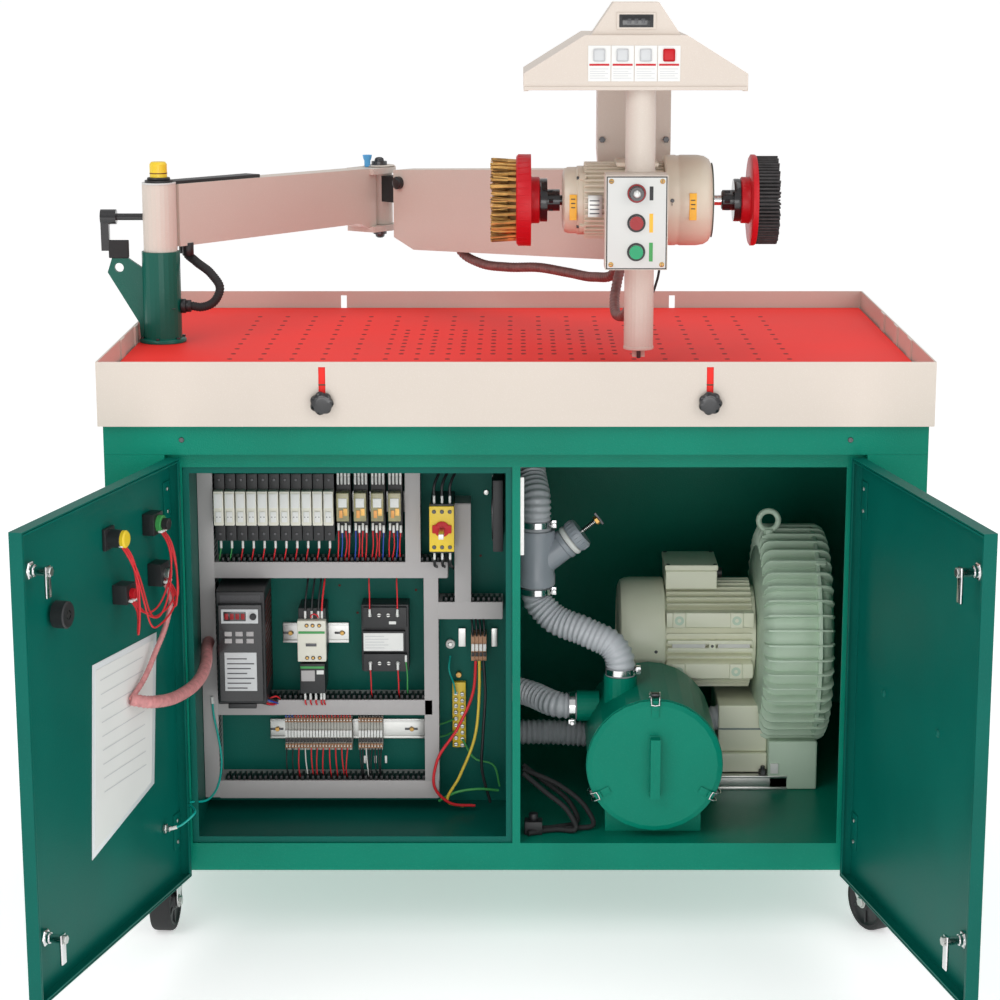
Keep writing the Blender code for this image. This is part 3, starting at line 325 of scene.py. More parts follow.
class Piece:
    """Collects primitives, each with its own material, into one object that rides on a body."""

    def __init__(self, place=None):
        self.bm = bmesh.new()
        self.mats = []
        self.place = place

    def _add(self, verts, mat, matrix=None):
        if mat not in self.mats:
            self.mats.append(mat)
        index = self.mats.index(mat)
        faces = {f for v in verts for f in v.link_faces}
        for f in faces:
            f.material_index = index
        if matrix is not None:
            bmesh.ops.transform(self.bm, matrix=matrix, verts=verts)
        return verts

    def box(self, x, y, z, mat, turn=None, bevel=0.0, segments=2):
        spans = [sorted(s) for s in (x, y, z)]
        verts = bmesh.ops.create_cube(self.bm, size=2)["verts"]
        for v in verts:
            v.co = Vector(s[1] if c > 0 else s[0] for s, c in zip(spans, v.co))
        if bevel:
            edges = list({e for v in verts for e in v.link_edges})
            made = bmesh.ops.bevel(
                self.bm, geom=edges, offset=bevel, segments=segments, profile=0.6, affect="EDGES",
            )
            verts = list({v for f in made["faces"] for v in f.verts} | {v for v in verts if v.is_valid})
        return self._add(verts, mat, turn)

    def spin(self, profile, centre, mat, axis="Z", steps=40, ring=False, turn=None):
        """Profile points (radius, height) turned about an axis through centre."""
        rows = []
        for r, h in profile:
            if r < 1e-6:
                rows.append([self.bm.verts.new((0, 0, h))])
            else:
                rows.append(
                    [
                        self.bm.verts.new(
                            (r * math.cos(math.tau * k / steps), r * math.sin(math.tau * k / steps), h),
                        )
                        for k in range(steps)
                    ]
                )
        pairs = list(zip(rows, rows[1:])) + ([(rows[-1], rows[0])] if ring else [])
        faces = []
        for low, high in pairs:
            for k in range(steps):
                j = (k + 1) % steps
                if len(low) == 1 and len(high) == 1:
                    continue
                if len(low) == 1:
                    faces.append(self.bm.faces.new((low[0], high[j], high[k])))
                elif len(high) == 1:
                    faces.append(self.bm.faces.new((low[k], low[j], high[0])))
                else:
                    faces.append(self.bm.faces.new((low[k], low[j], high[j], high[k])))
        verts = [v for row in rows for v in row]
        swap = AXES[axis].to_4x4()
        bmesh.ops.transform(self.bm, matrix=swap, verts=verts)
        offset = AXES[axis] @ Vector((centre[0], centre[1], 0))
        bmesh.ops.translate(self.bm, vec=offset, verts=verts)
        bmesh.ops.recalc_face_normals(self.bm, faces=faces)
        return self._add(verts, mat, turn)

    def rod(self, centre, r, span, mat, axis="Z", steps=32, turn=None, edge=0.6):
        a, b = sorted(span)
        e = min(edge, r / 3, (b - a) / 3)
        profile = [(0, a), (r - e, a), (r, a + e), (r, b - e), (r - e, b), (0, b)]
        return self.spin(profile, centre, mat, axis, steps, turn=turn)

    def hexnut(self, centre, r, span, mat, axis="Z", turn=None):
        a, b = sorted(span)
        profile = [(0, a), (r * 0.88, a), (r, a + r * 0.1), (r, b - r * 0.1), (r * 0.88, b), (0, b)]
        return self.spin(profile, centre, mat, axis, 6, turn=turn)

    def plate(self, outline, span, mat, axis="Z", turn=None, bevel=0.0):
        rows = [[self.bm.verts.new((a, b, h)) for a, b in outline] for h in span]
        n = len(outline)
        faces = [self.bm.faces.new(rows[0][::-1]), self.bm.faces.new(rows[1])]
        for k in range(n):
            j = (k + 1) % n
            faces.append(self.bm.faces.new((rows[0][k], rows[0][j], rows[1][j], rows[1][k])))
        verts = rows[0] + rows[1]
        bmesh.ops.transform(self.bm, matrix=AXES[axis].to_4x4(), verts=verts)
        bmesh.ops.recalc_face_normals(self.bm, faces=faces)
        if bevel:
            edges = [e for e in {e for v in verts for e in v.link_edges} if e.calc_face_angle(0) > 0.6]
            made = bmesh.ops.bevel(
                self.bm, geom=edges, offset=bevel, segments=2, profile=0.6, affect="EDGES",
            )
            verts = list({v for f in made["faces"] for v in f.verts} | {v for v in verts if v.is_valid})
        return self._add(verts, mat, turn)

    def sweep(self, path, radius, mat, sides=12, ribs=None, caps=True, turn=None, flat=1.0):
        """Tube along points; ribs=(depth, pitch) corrugates it."""
        run, last, rows = 0.0, None, []
        for p, tangent, side in frames_along(path):
            run += (p - last).length if last is not None else 0.0
            last = p
            r = radius
            if ribs:
                r = radius - ribs[0] * (0.5 - 0.5 * math.cos(math.tau * run / ribs[1]))
            up = tangent.cross(side)
            rows.append(
                [
                    self.bm.verts.new(
                        p
                        + r * math.cos(math.tau * k / sides) * side
                        + flat * r * math.sin(math.tau * k / sides) * up
                    )
                    for k in range(sides)
                ]
            )
        for low, high in zip(rows, rows[1:]):
            for k in range(sides):
                j = (k + 1) % sides
                self.bm.faces.new((low[k], low[j], high[j], high[k]))
        if caps:
            self.bm.faces.new(rows[0][::-1])
            self.bm.faces.new(rows[-1])
        return self._add([v for row in rows for v in row], mat, turn)

    def done(self, name, body, bevel=0.0, smooth=38, replaces=(), segments=2):
        bmesh.ops.scale(self.bm, vec=(MM, MM, MM), verts=self.bm.verts)
        if self.place is not None:
            bmesh.ops.transform(self.bm, matrix=self.place, verts=self.bm.verts)
        mesh = bpy.data.meshes.new(name)
        self.bm.to_mesh(mesh)
        self.bm.free()
        for mat in self.mats:
            mesh.materials.append(mat)
        mesh.shade_smooth()
        mesh.set_sharp_from_angle(angle=math.radians(smooth))
        obj = bpy.data.objects.new(name, mesh)
        bpy.context.scene.collection.objects.link(obj)
        if bevel:
            soften(obj, bevel, segments)
        if body:
            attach(obj, body)
        if replaces:
            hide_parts(*replaces)
        return obj


def soften(obj, width, segments=2, angle=40):
    modifier = obj.modifiers.new("edge_bevel", "BEVEL")
    modifier.width = width * MM
    modifier.segments = segments
    modifier.limit_method = "ANGLE"
    modifier.angle_limit = math.radians(angle)
    modifier.harden_normals = False


def dress(node, mats, bevel=0.0, smooth=35, pick=None):
    """Give a CAD node its finish, soft edges and shading; pick(x, y, z), in mm, chooses among several."""
    obj = NODES[node]
    mats = mats if isinstance(mats, (list, tuple)) else [mats]
    obj.data.materials.clear()
    for mat in mats:
        obj.data.materials.append(mat)
    for face in obj.data.polygons:
        face.material_index = pick(*(face.center / MM)) if pick else 0
    obj.data.shade_smooth()
    obj.data.set_sharp_from_angle(angle=math.radians(smooth))
    if bevel:
        soften(obj, bevel)


def hinge_matrix(at, degrees):
    """Closed-door coordinates to the resting pose, in metres."""
    spot = Vector(at) * MM
    return Matrix.Translation(spot) @ Matrix.Rotation(
        math.radians(degrees), 4, "Z",
    ) @ Matrix.Translation(-spot)


LEFT_DOOR = hinge_matrix((-552, -413, 0), -105.7)
RIGHT_DOOR = hinge_matrix((552, -413, 0), 101.7)
ARM_AT, ARM_ANGLE, ARM_LENGTH = Vector((-612, -7, 0)), 55.64, 620.2
FOREARM_ANGLE = -43.9
ELBOW_AT = ARM_AT + ARM_LENGTH * Vector(
    (math.cos(math.radians(ARM_ANGLE)), math.sin(math.radians(ARM_ANGLE)), 0)
)


def along(at, degrees):
    """Local frame with +X along an arm, in metres."""
    return Matrix.Translation(Vector(at) * MM) @ Matrix.Rotation(math.radians(degrees), 4, "Z")


ARM = along(ARM_AT, ARM_ANGLE)
FOREARM = along(ELBOW_AT, FOREARM_ANGLE)


def turn_about(at, axis, degrees):
    """Rotation about a point, in millimetres, for a primitive inside a piece."""
    spot = Vector(at)
    return Matrix.Translation(spot) @ Matrix.Rotation(
        math.radians(degrees), 4, axis,
    ) @ Matrix.Translation(-spot)


def path_m(path):
    return [list(Vector(p) * MM) for p in path]


def length_of(path):
    return sum((Vector(b) - Vector(a)).length for a, b in zip(path, path[1:])) * MM

# ------------------------------------------------------------------ hoses and leads


def suction_hose(name, node, stations, radius, pitch=9.0):
    path = smooth_path(stations, step=pitch / 4)
    piece = Piece()
    piece.sweep(path, radius, HOSE, sides=28, ribs=(3.4, pitch))
    obj = piece.done(name, "cabinet", smooth=70, replaces=(node,))
    if length_of(path) < 12 * radius * MM:
        return
    round(length_of(path), 4)
    path_m(path)


def hoses():
    table = [(20, -100, -72.3), (20, -100, -92), (20, -108, -150), (26, -152, -206), (34, -192, -250)]
    table += [(34, -195, -272), (34, -195, -291.7)]
    suction_hose("corrugated_table_hose", "table_hose", table, 26)
    drum = [(34, -195, -388.3), (34, -195, -404), (60, -206, -440), (120, -230, -462), (166, -246, -486)]
    drum += [(176, -250, -512), (176, -250, -529.7)]
    suction_hose("corrugated_drum_hose", "drum_hose", drum, 26)
    loop = [(103.7, -200, -600), (86, -200, -600), (20, -150, -592), (-50, -110, -590), (-100, -96, -612)]
    loop += [(-112, -92, -640), (-90, -90, -668), (-30, -90, -680), (60, -90, -682), (180, -84, -690)]
    loop += [(290, -76, -682), (372, -70, -660), (394.6, -70, -660)]
    suction_hose("corrugated_blower_hose", "blower_hose", loop, 23)


def lead(name, node, stations, radius, mat, ribs, ends):
    """A wrapped lead that crosses one joint, swept as one fixed mesh on no body."""
    path = smooth_path(stations, step=ribs[1] / 4)
    piece = Piece()
    piece.sweep(path, radius, mat, sides=16, ribs=ribs)
    obj = piece.done(name, None, smooth=70)
    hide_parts(node)
    [c * MM for c in ends[0]]
    [c * MM for c in ends[1]]
    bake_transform(obj)
    [c * MM for c in stations[0]]
    round(length_of(path), 4)
    path_m(path)


def leads():
    post = [
        (-575, 47, 162.8), (-575, 47, 152), (-558, 30, 136), (-528, 8, 116), (-512, -4, 92),
        (-524, -7, 68),
    ]
    post += [(-546, -7, 60), (-562, -7, 62), (-578.6, -7, 62)]
    lead(
        "post_conduit_lead", "post_conduit", post, 8, RUBBER, (1.2, 4.0),
        ((-575, 47, 162), (-575, 0, 70)),
    )
    at = Vector((ELBOW_AT.x, ELBOW_AT.y, 0))
    turn = Matrix.Rotation(math.radians(FOREARM_ANGLE), 3, "Z")
    route = [(190, 0, 261.9), (190, 0, 245), (192, 0, 200), (200, 0, 150), (222, 0, 115), (270, 0, 98)]
    route += [(340, 0, 96), (420, 0, 102), (500, -6, 100), (575, -20, 100), (630, -32, 112)]
    route += [(645, -38.6, 134), (645, -38.6, 149.6)]
    arm = [tuple(at + turn @ Vector(p)) for p in route]
    lead(
        "forearm_loom_lead", "forearm_loom", arm, 9, LOOM_BROWN, (1.0, 7.0),
        (arm[7], arm[-1]),
    )
    head = [(182, 10, 149.6), (182, 10, 134), (176, 4, 106), (170, -18, 76), (172, -52, 54), (184, -88, 58)]
    head += [(196, -116, 86), (200, -127, 124), (200, -127, 158), (200, -127, 187.6)]
    lead(
        "head_loom_lead", "head_loom", head, 9, LOOM_BROWN, (1.0, 7.0),
        ((180, 8, 100), (200, -122, 100)),
    )
    door = [
        (-594, -598, -468), (-580, -594, -472), (-552, -560, -482), (-524, -490, -488), (-510, -420, -486),
    ]
    door += [(-508, -360, -480), (-514, -300, -475), (-517, -262, -474), (-517, -243.6, -474)]
    lead(
        "door_harness_lead", "door_harness", door, 10, LOOM_PINK, (1.0, 7.0),
        ((-524, -500, -486), (-508, -340, -478)),
    )


def door_wiring():
    """Wires looped between the switch blocks, and the door's earth lead to the enclosure."""
    loops = Piece(LEFT_DOOR)
    blocks = [(-469, -300), (-456, -216), (-339, -298), (-311, -206)]
    for k, (x, z) in enumerate(blocks):
        tx, tz = blocks[(k + 1) % 4]
        for n in range(2):
            sag = 24 + 14 * n + 6 * k
            mid = ((x + tx) / 2 + 12 * (n - 0.5), -372 + 4 * n, min(z, tz) - sag)
            path = [
                (x + 5 * n, -388, z), (x + 6 * n, -376, z - 16), mid, (tx - 6 * n, -376, tz - 16),
                (tx - 5 * n, -388, tz),
            ]
            loops.sweep(smooth_path(path, 4, straight=False), 1.5, WIRE_RED, sides=8)
        for n in range(3):
            loops.rod((x - 8 + 8 * n, z - 4), 2.4, (-387, -380), WHITE, "Y", 10)
    back = LEFT_DOOR.inverted()
    foot = back @ Vector((-0.594, -0.598, -0.468)) / MM
    run = [
        (-469, -388, -306), (-474, -382, -330), (-468, -386, -368), (-438, -394, -412), (-400, -398, -446),
        tuple(foot),
    ]
    loops.sweep(smooth_path(run, 3, straight=False), 4.6, LOOM_PINK, sides=12, ribs=(0.5, 6.0))
    loops.done("door_switch_wiring", "left_door", smooth=60)
    stud = LEFT_DOOR @ (Vector((-483, -399, -720)) * MM) / MM
    lift = LEFT_DOOR @ (Vector((-486, -386, -716)) * MM) / MM
    away = LEFT_DOOR @ (Vector((-500, -366, -700)) * MM) / MM
    route = [
        tuple(stud), tuple(lift), tuple(away), (-538, -402, -704), (-512, -352, -716), (-500, -300, -706),
    ]
    route += [(-498, -268, -676), (-504, -254, -640), (-512, -248, -600), (-514, -246, -570)]
    path = smooth_path(route, 3, straight=False)
    earth = Piece()
    earth.sweep(path, 1.9, WIRE_TEAL, sides=10)
    for a, b in ((0, 4), (len(path) - 5, len(path) - 1)):
        earth.sweep([path[k] for k in range(a, b + 1)], 2.9, WHITE, sides=12)
    obj = earth.done("door_earth_lead", None, smooth=70)
    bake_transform(obj)
    [c * MM for c in route[0]]
    round(length_of(path), 4)
    path_m(path)


# ------------------------------------------------------------------ cabinet and tray


def cabinet_shell():
    for node in ("left_side_panel", "right_side_panel", "front_frame", "back_panel", "base_frame"):
        dress(node, GREEN, 0.9)
    # The enclosure takes the darker copy of the green: painted shade inside the cabinet.
    dress("electrical_enclosure", GREEN_SHADE, 0.6)
    dress("vacuum_table", GREEN, 1.0)
    screws = Piece()
    for x in (-530, 530):
        screws.rod((x, -96), 4.2, (-414.4, -412.2), DARK_STEEL, "Y", 18)
    screws.done("frame_screws", "cabinet")
    hinges = Piece()
    for side in (-1, 1):
        for z in (-189, -742):
            hinges.rod((side * 552, -413), 5.2, (z - 34, z + 34), BLACK, "Z", 20)
            hinges.box((side * 553, side * 575), (-413.6, -412.2), (z - 32, z + 32), BLACK, bevel=0.4)
            for k in (-20, 0, 20):
                hinges.rod((side * 566, z + k), 3.0, (-414.6, -413.4), DARK_STEEL, "Y", 14)
    hinges.done("door_hinges", "cabinet")
    back = Piece()
    for x in (-560, -420, -280, -140, 0, 140, 280, 420, 560):
        for z in (-95, -805):
            back.spin([(0, 412.2), (4.8, 412.2), (4.4, 414.0), (0, 415.0)], (x, z), DARK_STEEL, "Y", 16)
    for z in range(-720, -560, 22):
        for x in (-330, 330):
            back.box((x - 70, x + 70), (412.2, 414.6), (z, z + 9), GREEN, bevel=1.1)
            back.box((x - 64, x + 64), (412.6, 413.4), (z - 3.2, z - 0.4), HOLE_DARK)
    back.done("rear_vents_and_screws", "cabinet")
    casters_bolts = Piece()
    for x in (-585, 585):
        for y in (-320, 320):
            for dx in (-34, 34):
                for dy in (-34, 34):
                    casters_bolts.hexnut((x + dx, y + dy), 6.5, (-833.5, -826.2), STEEL, "Z")
            casters_bolts.box((x - 48, x + 48), (y - 48, y + 48), (-829.5, -826.2), STEEL, bevel=1.0)
    casters_bolts.done("caster_plates", "cabinet")


def tray():
    for node in ("left_side_rail", "right_side_rail", "front_fence", "rear_fence"):
        dress(node, CREAM, 0.8)
    dress("vacuum_mat", MAT_RED, 0.8)
    holes = Piece()

    def perforation(x, y):
        holes.spin(
            [(0, 0.12), (3.1, 0.12), (3.9, 0.3), (4.5, 0.12), (4.6, 0.02)], (x, y), HOLE_DARK, "Z", 12,
        )

    for i in range(19):
        for j in range(10):
            perforation(-475 + 51.6 * i, -202 + 55.4 * j)
    for i in range(16):
        for j in range(8):
            x, y = -193 + 25.7 * i, -146 + 38.7 * j
            if abs((x + 475) / 51.6 - round((x + 475) / 51.6)) * 51.6 > 7:
                perforation(x, y)
    holes.done("mat_perforations", "cabinet", smooth=60)
    lining = Piece()
    for x in (-305, 305):
        lining.box((x - 16, x + 16), (-423.5, -421.3), (-66, -7), MAT_RED, bevel=0.5)
        lining.box((x - 16, x + 16), (-423.5, -421.3), (-5, 26), MAT_RED, bevel=0.5)
    lining.done("slot_linings", "cabinet")
    star_knobs()
    bolts = Piece()
    for x in (-328, 297):
        bolts.hexnut((x, -26), 9, (427.3, 434.5), DARK_STEEL, "Y")
        bolts.rod((x, -26), 12, (427.2, 428.6), STEEL, "Y")
    bolts.done("rear_fence_bolts", "cabinet")


KNOB_PROFILE = ((14.5, -430.2), (17.6, -431.6), (18.9, -434.5), (18.9, -437.5), (17.2, -440.0), (12.5, -441.2))


def star_knobs():
    for side, x in (("left", -305), ("right", 305)):
        knob = Piece()
        lobes = 7
        rows = []
        for radius, y in KNOB_PROFILE:
            row = []
            for k in range(84):
                t = math.tau * k / 84
                wave = 0.90 + 0.10 * (0.5 + 0.5 * math.cos(lobes * t)) ** 0.6
                row.append(
                    knob.bm.verts.new(
                        (x + radius * wave * math.cos(t), y, -33 + radius * wave * math.sin(t)),
                    ),
                )
            rows.append(row)
        centre_back = knob.bm.verts.new((x, -430.2, -33))
        centre_front = knob.bm.verts.new((x, -441.2, -33))
        faces = []
        for low, high in zip(rows, rows[1:]):
            for k in range(84):
                j = (k + 1) % 84
                faces.append(knob.bm.faces.new((low[k], low[j], high[j], high[k])))
        for k in range(84):
            j = (k + 1) % 84
            faces.append(knob.bm.faces.new((rows[0][j], rows[0][k], centre_back)))
            faces.append(knob.bm.faces.new((rows[-1][k], rows[-1][j], centre_front)))
        bmesh.ops.recalc_face_normals(knob.bm, faces=faces)
        knob._add([v for row in rows for v in row] + [centre_back, centre_front], GLOSS_BLACK)
        knob.spin(
            [(12.0, -440.8), (10.8, -441.2), (8.5, -441.3), (5.0, -441.35), (0, -441.35)], (x, -33),
            GLOSS_BLACK, "Y", 36,
        )
        knob.rod((x, -33), 9.5, (-430.6, -427.4), GLOSS_BLACK, "Y", 28)
        knob.rod((x, -33), 4, (-428, -421.4), STEEL, "Y", 16)
        knob.done(
            f"star_knob_{side}", f"front_knob_{side}", smooth=42, replaces=(f"front_knob_{side}",),
        )


# ------------------------------------------------------------------ doors


def door_details():
    for side, matrix, sign in (("left", LEFT_DOOR, -1), ("right", RIGHT_DOOR, 1)):
        # Outer door faces take the green; inner faces take its darker copy as painted shade.
        dress(f"{side}_door", [GREEN, GREEN_SHADE], 0.7, pick=door_face(matrix))
        trim = Piece(matrix)
        x0, x1 = sorted((sign * 7, sign * 545))
        # Inner returns and hinge flanges in the darker copy of the green: painted shade.
        for z in (-128.5, -819):
            trim.box((x0, x1), (-394.8, -392.2), (z - 1.6, z + 1.6), GREEN_SHADE, bevel=0.5)
        for x in (x0 + 1, x1 - 1):
            trim.box((x - 1.6, x + 1.6), (-394.8, -392.2), (-819, -128.5), GREEN_SHADE, bevel=0.5)
        for z in (-189, -742):
            trim.box((sign * 546, sign * 520), (-409.8, -408.2), (z - 30, z + 30), GREEN_SHADE, bevel=0.5)
            for k in (-18, 18):
                trim.rod((sign * 533, z + k), 3.4, (-408.4, -406.2), STEEL, "Y", 14)
        trim.done(f"{side}_door_returns", f"{side}_door")
        for level, z in (("upper", -188), ("lower", -735)):
            body = f"{side}_latch_{level}"
            x = sign * 49
            lock = Piece(matrix)
            lock.spin(
                [(0, -417), (9, -417), (12.4, -416), (13, -414.5), (13, -412.4), (9, -412.4), (0, -412.4)],
                (x, z), BRIGHT, "Y", 32,
            )
            lock.spin([(0, -418.4), (5, -418.2), (6, -417), (0, -417)], (x, z), DARK_STEEL, "Y", 18)
            lock.rod((x, z), 8.8, (-411.8, -397), BRIGHT, "Y", 24)
            lock.hexnut((x, z), 13.5, (-409.6, -402.5), BRIGHT, "Y")
            lock.rod((x, z), 6.6, (-398, -376.2), BRIGHT, "Y", 20)
            lock.hexnut((x, z), 7.6, (-375.9, -371.4), STEEL, "Y")
            reach = 38 if side == "left" else 44
            lock.box((x - 7, x + 7), (-380.6, -376.4), (z - reach, z + 8), BRIGHT, bevel=1.0)
            lock.done(f"{side}_lock_{level}", body, smooth=40, replaces=(body,))
    left = Piece(LEFT_DOOR)
    sleeve_corners = [(-244, -381), (-477, -391), (-450, -633), (-218, -679)]
    left.plate([(x, z) for x, z in sleeve_corners], (-409.8, -408.6), PAPER, "Y", bevel=0.3)
    left.plate([(-252, -391), (-462, -400), (-438, -626), (-227, -668)], (-408.4, -407.9), WHITE, "Y")
    for k in range(9):
        z = -410 - 22 * k
        left.plate(
            [(-266, z), (-420, z - 5), (-419, z - 6.4), (-266, z - 1.4)], (-407.7, -407.5), LABEL_GREY,
            "Y",
        )
    left.rod((-311, -201), 14, (-409.8, -384), BLACK, "Y", 30)
    left.spin(
        [(0, -376), (11, -376.5), (13.5, -379), (13.5, -383.8), (0, -383.8)], (-311, -201), YELLOW, "Y",
        30,
    )
    left.box((-328, -294), (-409.8, -404), (-218, -184), BLACK, bevel=1.5)
    left.box((-474, -438), (-409.8, -390), (-226, -192), BLACK, bevel=1.5)
    left.rod((-456, -209), 13.5, (-390.2, -382), WIRE_GREEN, "Y", 30)
    left.rod((-456, -209), 9, (-382.4, -372), BLACK, "Y", 24)
    left.box((-486, -452), (-409.8, -386), (-310, -274), BLACK, bevel=1.5)
    left.rod((-469, -292), 9, (-386.2, -378), STEEL, "Y", 24)
    left.box((-356, -322), (-409.8, -386), (-307, -277), BLACK, bevel=1.5)
    left.rod((-339, -292), 8, (-386.2, -378), RED, "Y", 24)
    left.rod((-483, -720), 5, (-409.8, -398), STEEL, "Y", 16)
    left.hexnut((-483, -720), 8, (-409.6, -404), STEEL, "Y")
    left.done("door_switch_gear", "left_door")
    right = Piece(RIGHT_DOOR)
    # Rivet heads on the inner face, in the darker copy of the green: painted shade.
    for x, z in ((418, -474), (189, -468)):
        right.spin(
            [(0, -405.4), (4.2, -406.4), (6, -409), (6.4, -409.8), (0, -409.8)], (x, z), GREEN_SHADE, "Y", 20,
        )
    right.done("door_rivets", "right_door")
    switch = Piece(LEFT_DOOR)
    sx, sz = -122, -270
    switch.box((sx - 34, sx + 34), (-414.6, -412.4), (sz - 34, sz + 34), YELLOW, bevel=1.0)
    switch.spin(
        [(0, -424), (24, -424), (28, -421.5), (30, -416), (30, -414.4), (0, -414.4)], (sx, sz), RED, "Y",
        44,
    )
    switch.box((sx - 6, sx + 6), (-440, -422), (sz - 28, sz + 28), RED, bevel=2.5, segments=3)
    switch.rod((sx, sz), 7.8, (-412.2, -403.8), BLACK, "Y", 24)
    switch.spin([(7, -404), (20, -404), (20, -386), (18, -384), (7, -384)], (sx, sz), BLACK, "Y", 36)
    switch.spin([(0, -392), (7.2, -392), (7.2, -384.2), (0, -384.2)], (sx, sz), DARK_STEEL, "Y", 4)
    switch.done(
        "rotary_switch_handle", "main_switch_handle", replaces=("main_switch_handle",),
    )


def door_face(matrix):
    """Inner faces of a door take the darker copy of the green: painted shade."""
    back = matrix.inverted()

    def pick(x, y, z):
        local = back @ Vector((x * MM, y * MM, z * MM)) / MM
        return 1 if local.y > -411 else 0

    return pick


# ------------------------------------------------------------------ casters


def casters():
    spots = {
        "front_left": (-585, -320, -95),
        "front_right": (585, -320, -62),
        "rear_left": (-585, 320, 100),
        "rear_right": (585, 320, 82),
    }
    for name, (x, y, angle) in spots.items():
        place = Matrix.Translation(Vector((x, y, 0)) * MM) @ Matrix.Rotation(math.radians(angle), 4, "Z")
        fork = Piece(place)
        fork.spin(
            [(0, -826.6), (24, -826.6), (31, -828.5), (33, -833), (30, -837), (0, -837)], (0, 0), BRIGHT,
            "Z", 40,
        )
        fork.spin([(22, -829), (27.5, -831), (27.5, -835.5), (22, -837)], (0, 0), DARK_STEEL, "Z", 40)
        for side in (-1, 1):
            cheek = [
                (-20, -836), (40, -836), (44, -842), (40, -880), (42, -890), (37, -903), (23, -903),
                (16, -893), (-18, -846),
            ]
            fork.plate(cheek, (side * 20.4, side * 23), BRIGHT, "Y", bevel=0.8)
            fork.hexnut((30, -894), 8.5, (side * 23, side * 28), STEEL, "Y")
            fork.rod((30, -894), 11, (side * 22.9, side * 24.4), STEEL, "Y")
        fork.box((-20, 42), (-23, 23), (-840, -836.4), BRIGHT, bevel=1.2)
        fork.box(
            (40, 66), (-17, 17), (-842, -838.5), BRIGHT, turn=turn_about((40, 0, -840), "Y", 14),
            bevel=1.0,
        )
        fork.box((58, 78), (-15, 15), (-850, -843), RED, turn=turn_about((58, 0, -846), "Y", 18), bevel=2.0)
        fork.done(
            f"caster_{name}_fork", f"caster_fork_{name}", replaces=(f"caster_fork_{name}",),
        )
        wheel = Piece(place)
        tread = [
            (43, -17.6), (47.5, -17.0), (49.4, -14.6), (50, -11), (50, 11), (49.4, 14.6), (47.5, 17.0),
            (43, 17.6),
        ]
        wheel.spin(tread + [(41, 17.2), (41, -17.2)], (30, -894), RUBBER, "Y", 64, ring=True)
        hub = [(9, -19.6), (13, -19.2), (14, -16), (18, -13.2), (34, -12.2), (39, -14.8), (41.2, -17.2)]
        hub += [(41.2, 17.2), (39, 14.8), (34, 12.2), (18, 13.2), (14, 16), (13, 19.2), (9, 19.6)]
        wheel.spin(hub, (30, -894), BLACK, "Y", 56, ring=True)
        for k in range(6):
            spoke = turn_about((30, 0, -894), "Y", 60 * k)
            wheel.box((30 - 2, 30 + 2), (-15.2, 15.2), (-894 + 15, -894 + 39), BLACK, turn=spoke, bevel=0.8)
        wheel.done(
            f"caster_{name}_wheel", f"caster_wheel_{name}", replaces=(f"caster_wheel_{name}",),
        )


# ------------------------------------------------------------------ electrical bay

DUCT_RUNS = [
    ((-529, -505), (-750, -177)),
    ((-505.7, -131), (-750, -720)),
    ((-505.7, -140), (-602, -577)),
    ((-505.7, -114), (-363, -337)),
    ((-154, -131), (-721, -362)),
    ((-184, -160), (-338, -180)),
    ((-132, -22), (-434, -406)),
    ((-102, -76), (-407, -236)),
]


def ducts():
    dress("wiring_duct", DUCT, 0.5)
    lids = Piece()
    combs = Piece()
    for (x0, x1), (z0, z1) in DUCT_RUNS:
        upright = z1 - z0 > x1 - x0
        if upright:
            lids.box((x0 - 0.8, x1 + 0.8), (-245.4, -243.1), (z0 + 1, z1 - 1), DUCT, bevel=0.8)
            for z in range(int(z0) + 8, int(z1) - 8, 9):
                for x in (x0 - 0.25, x1 + 0.25):
                    combs.box((x - 0.3, x + 0.3), (-238, -205), (z, z + 4.5), BLACK)
        else:
            lids.box((x0 + 1, x1 - 1), (-245.4, -243.1), (z0 - 0.8, z1 + 0.8), DUCT, bevel=0.8)
            for x in range(int(x0) + 8, int(x1) - 8, 9):
                for z in (z0 - 0.25, z1 + 0.25):
                    combs.box((x, x + 4.5), (-238, -205), (z - 0.3, z + 0.3), BLACK)
                combs.box((x + 4.6, x + 8.8), (-240, -214), (z1 + 0.2, z1 + 7.5), BLACK, bevel=0.5)
    lids.done("duct_lids", "cabinet")
    combs.done("duct_combs", "cabinet")


def ferrule(piece, x, y, z, down, mat=None):
    """White sleeve at a terminal."""
    span = (z - 13, z) if down else (z, z + 13)
    piece.rod((x, y), 2.1, span, mat or WHITE, "Z", 10)


def wire(piece, points, mat, radius=1.15):
    piece.sweep(smooth_path(points, step=7, straight=False), radius, mat, sides=7)


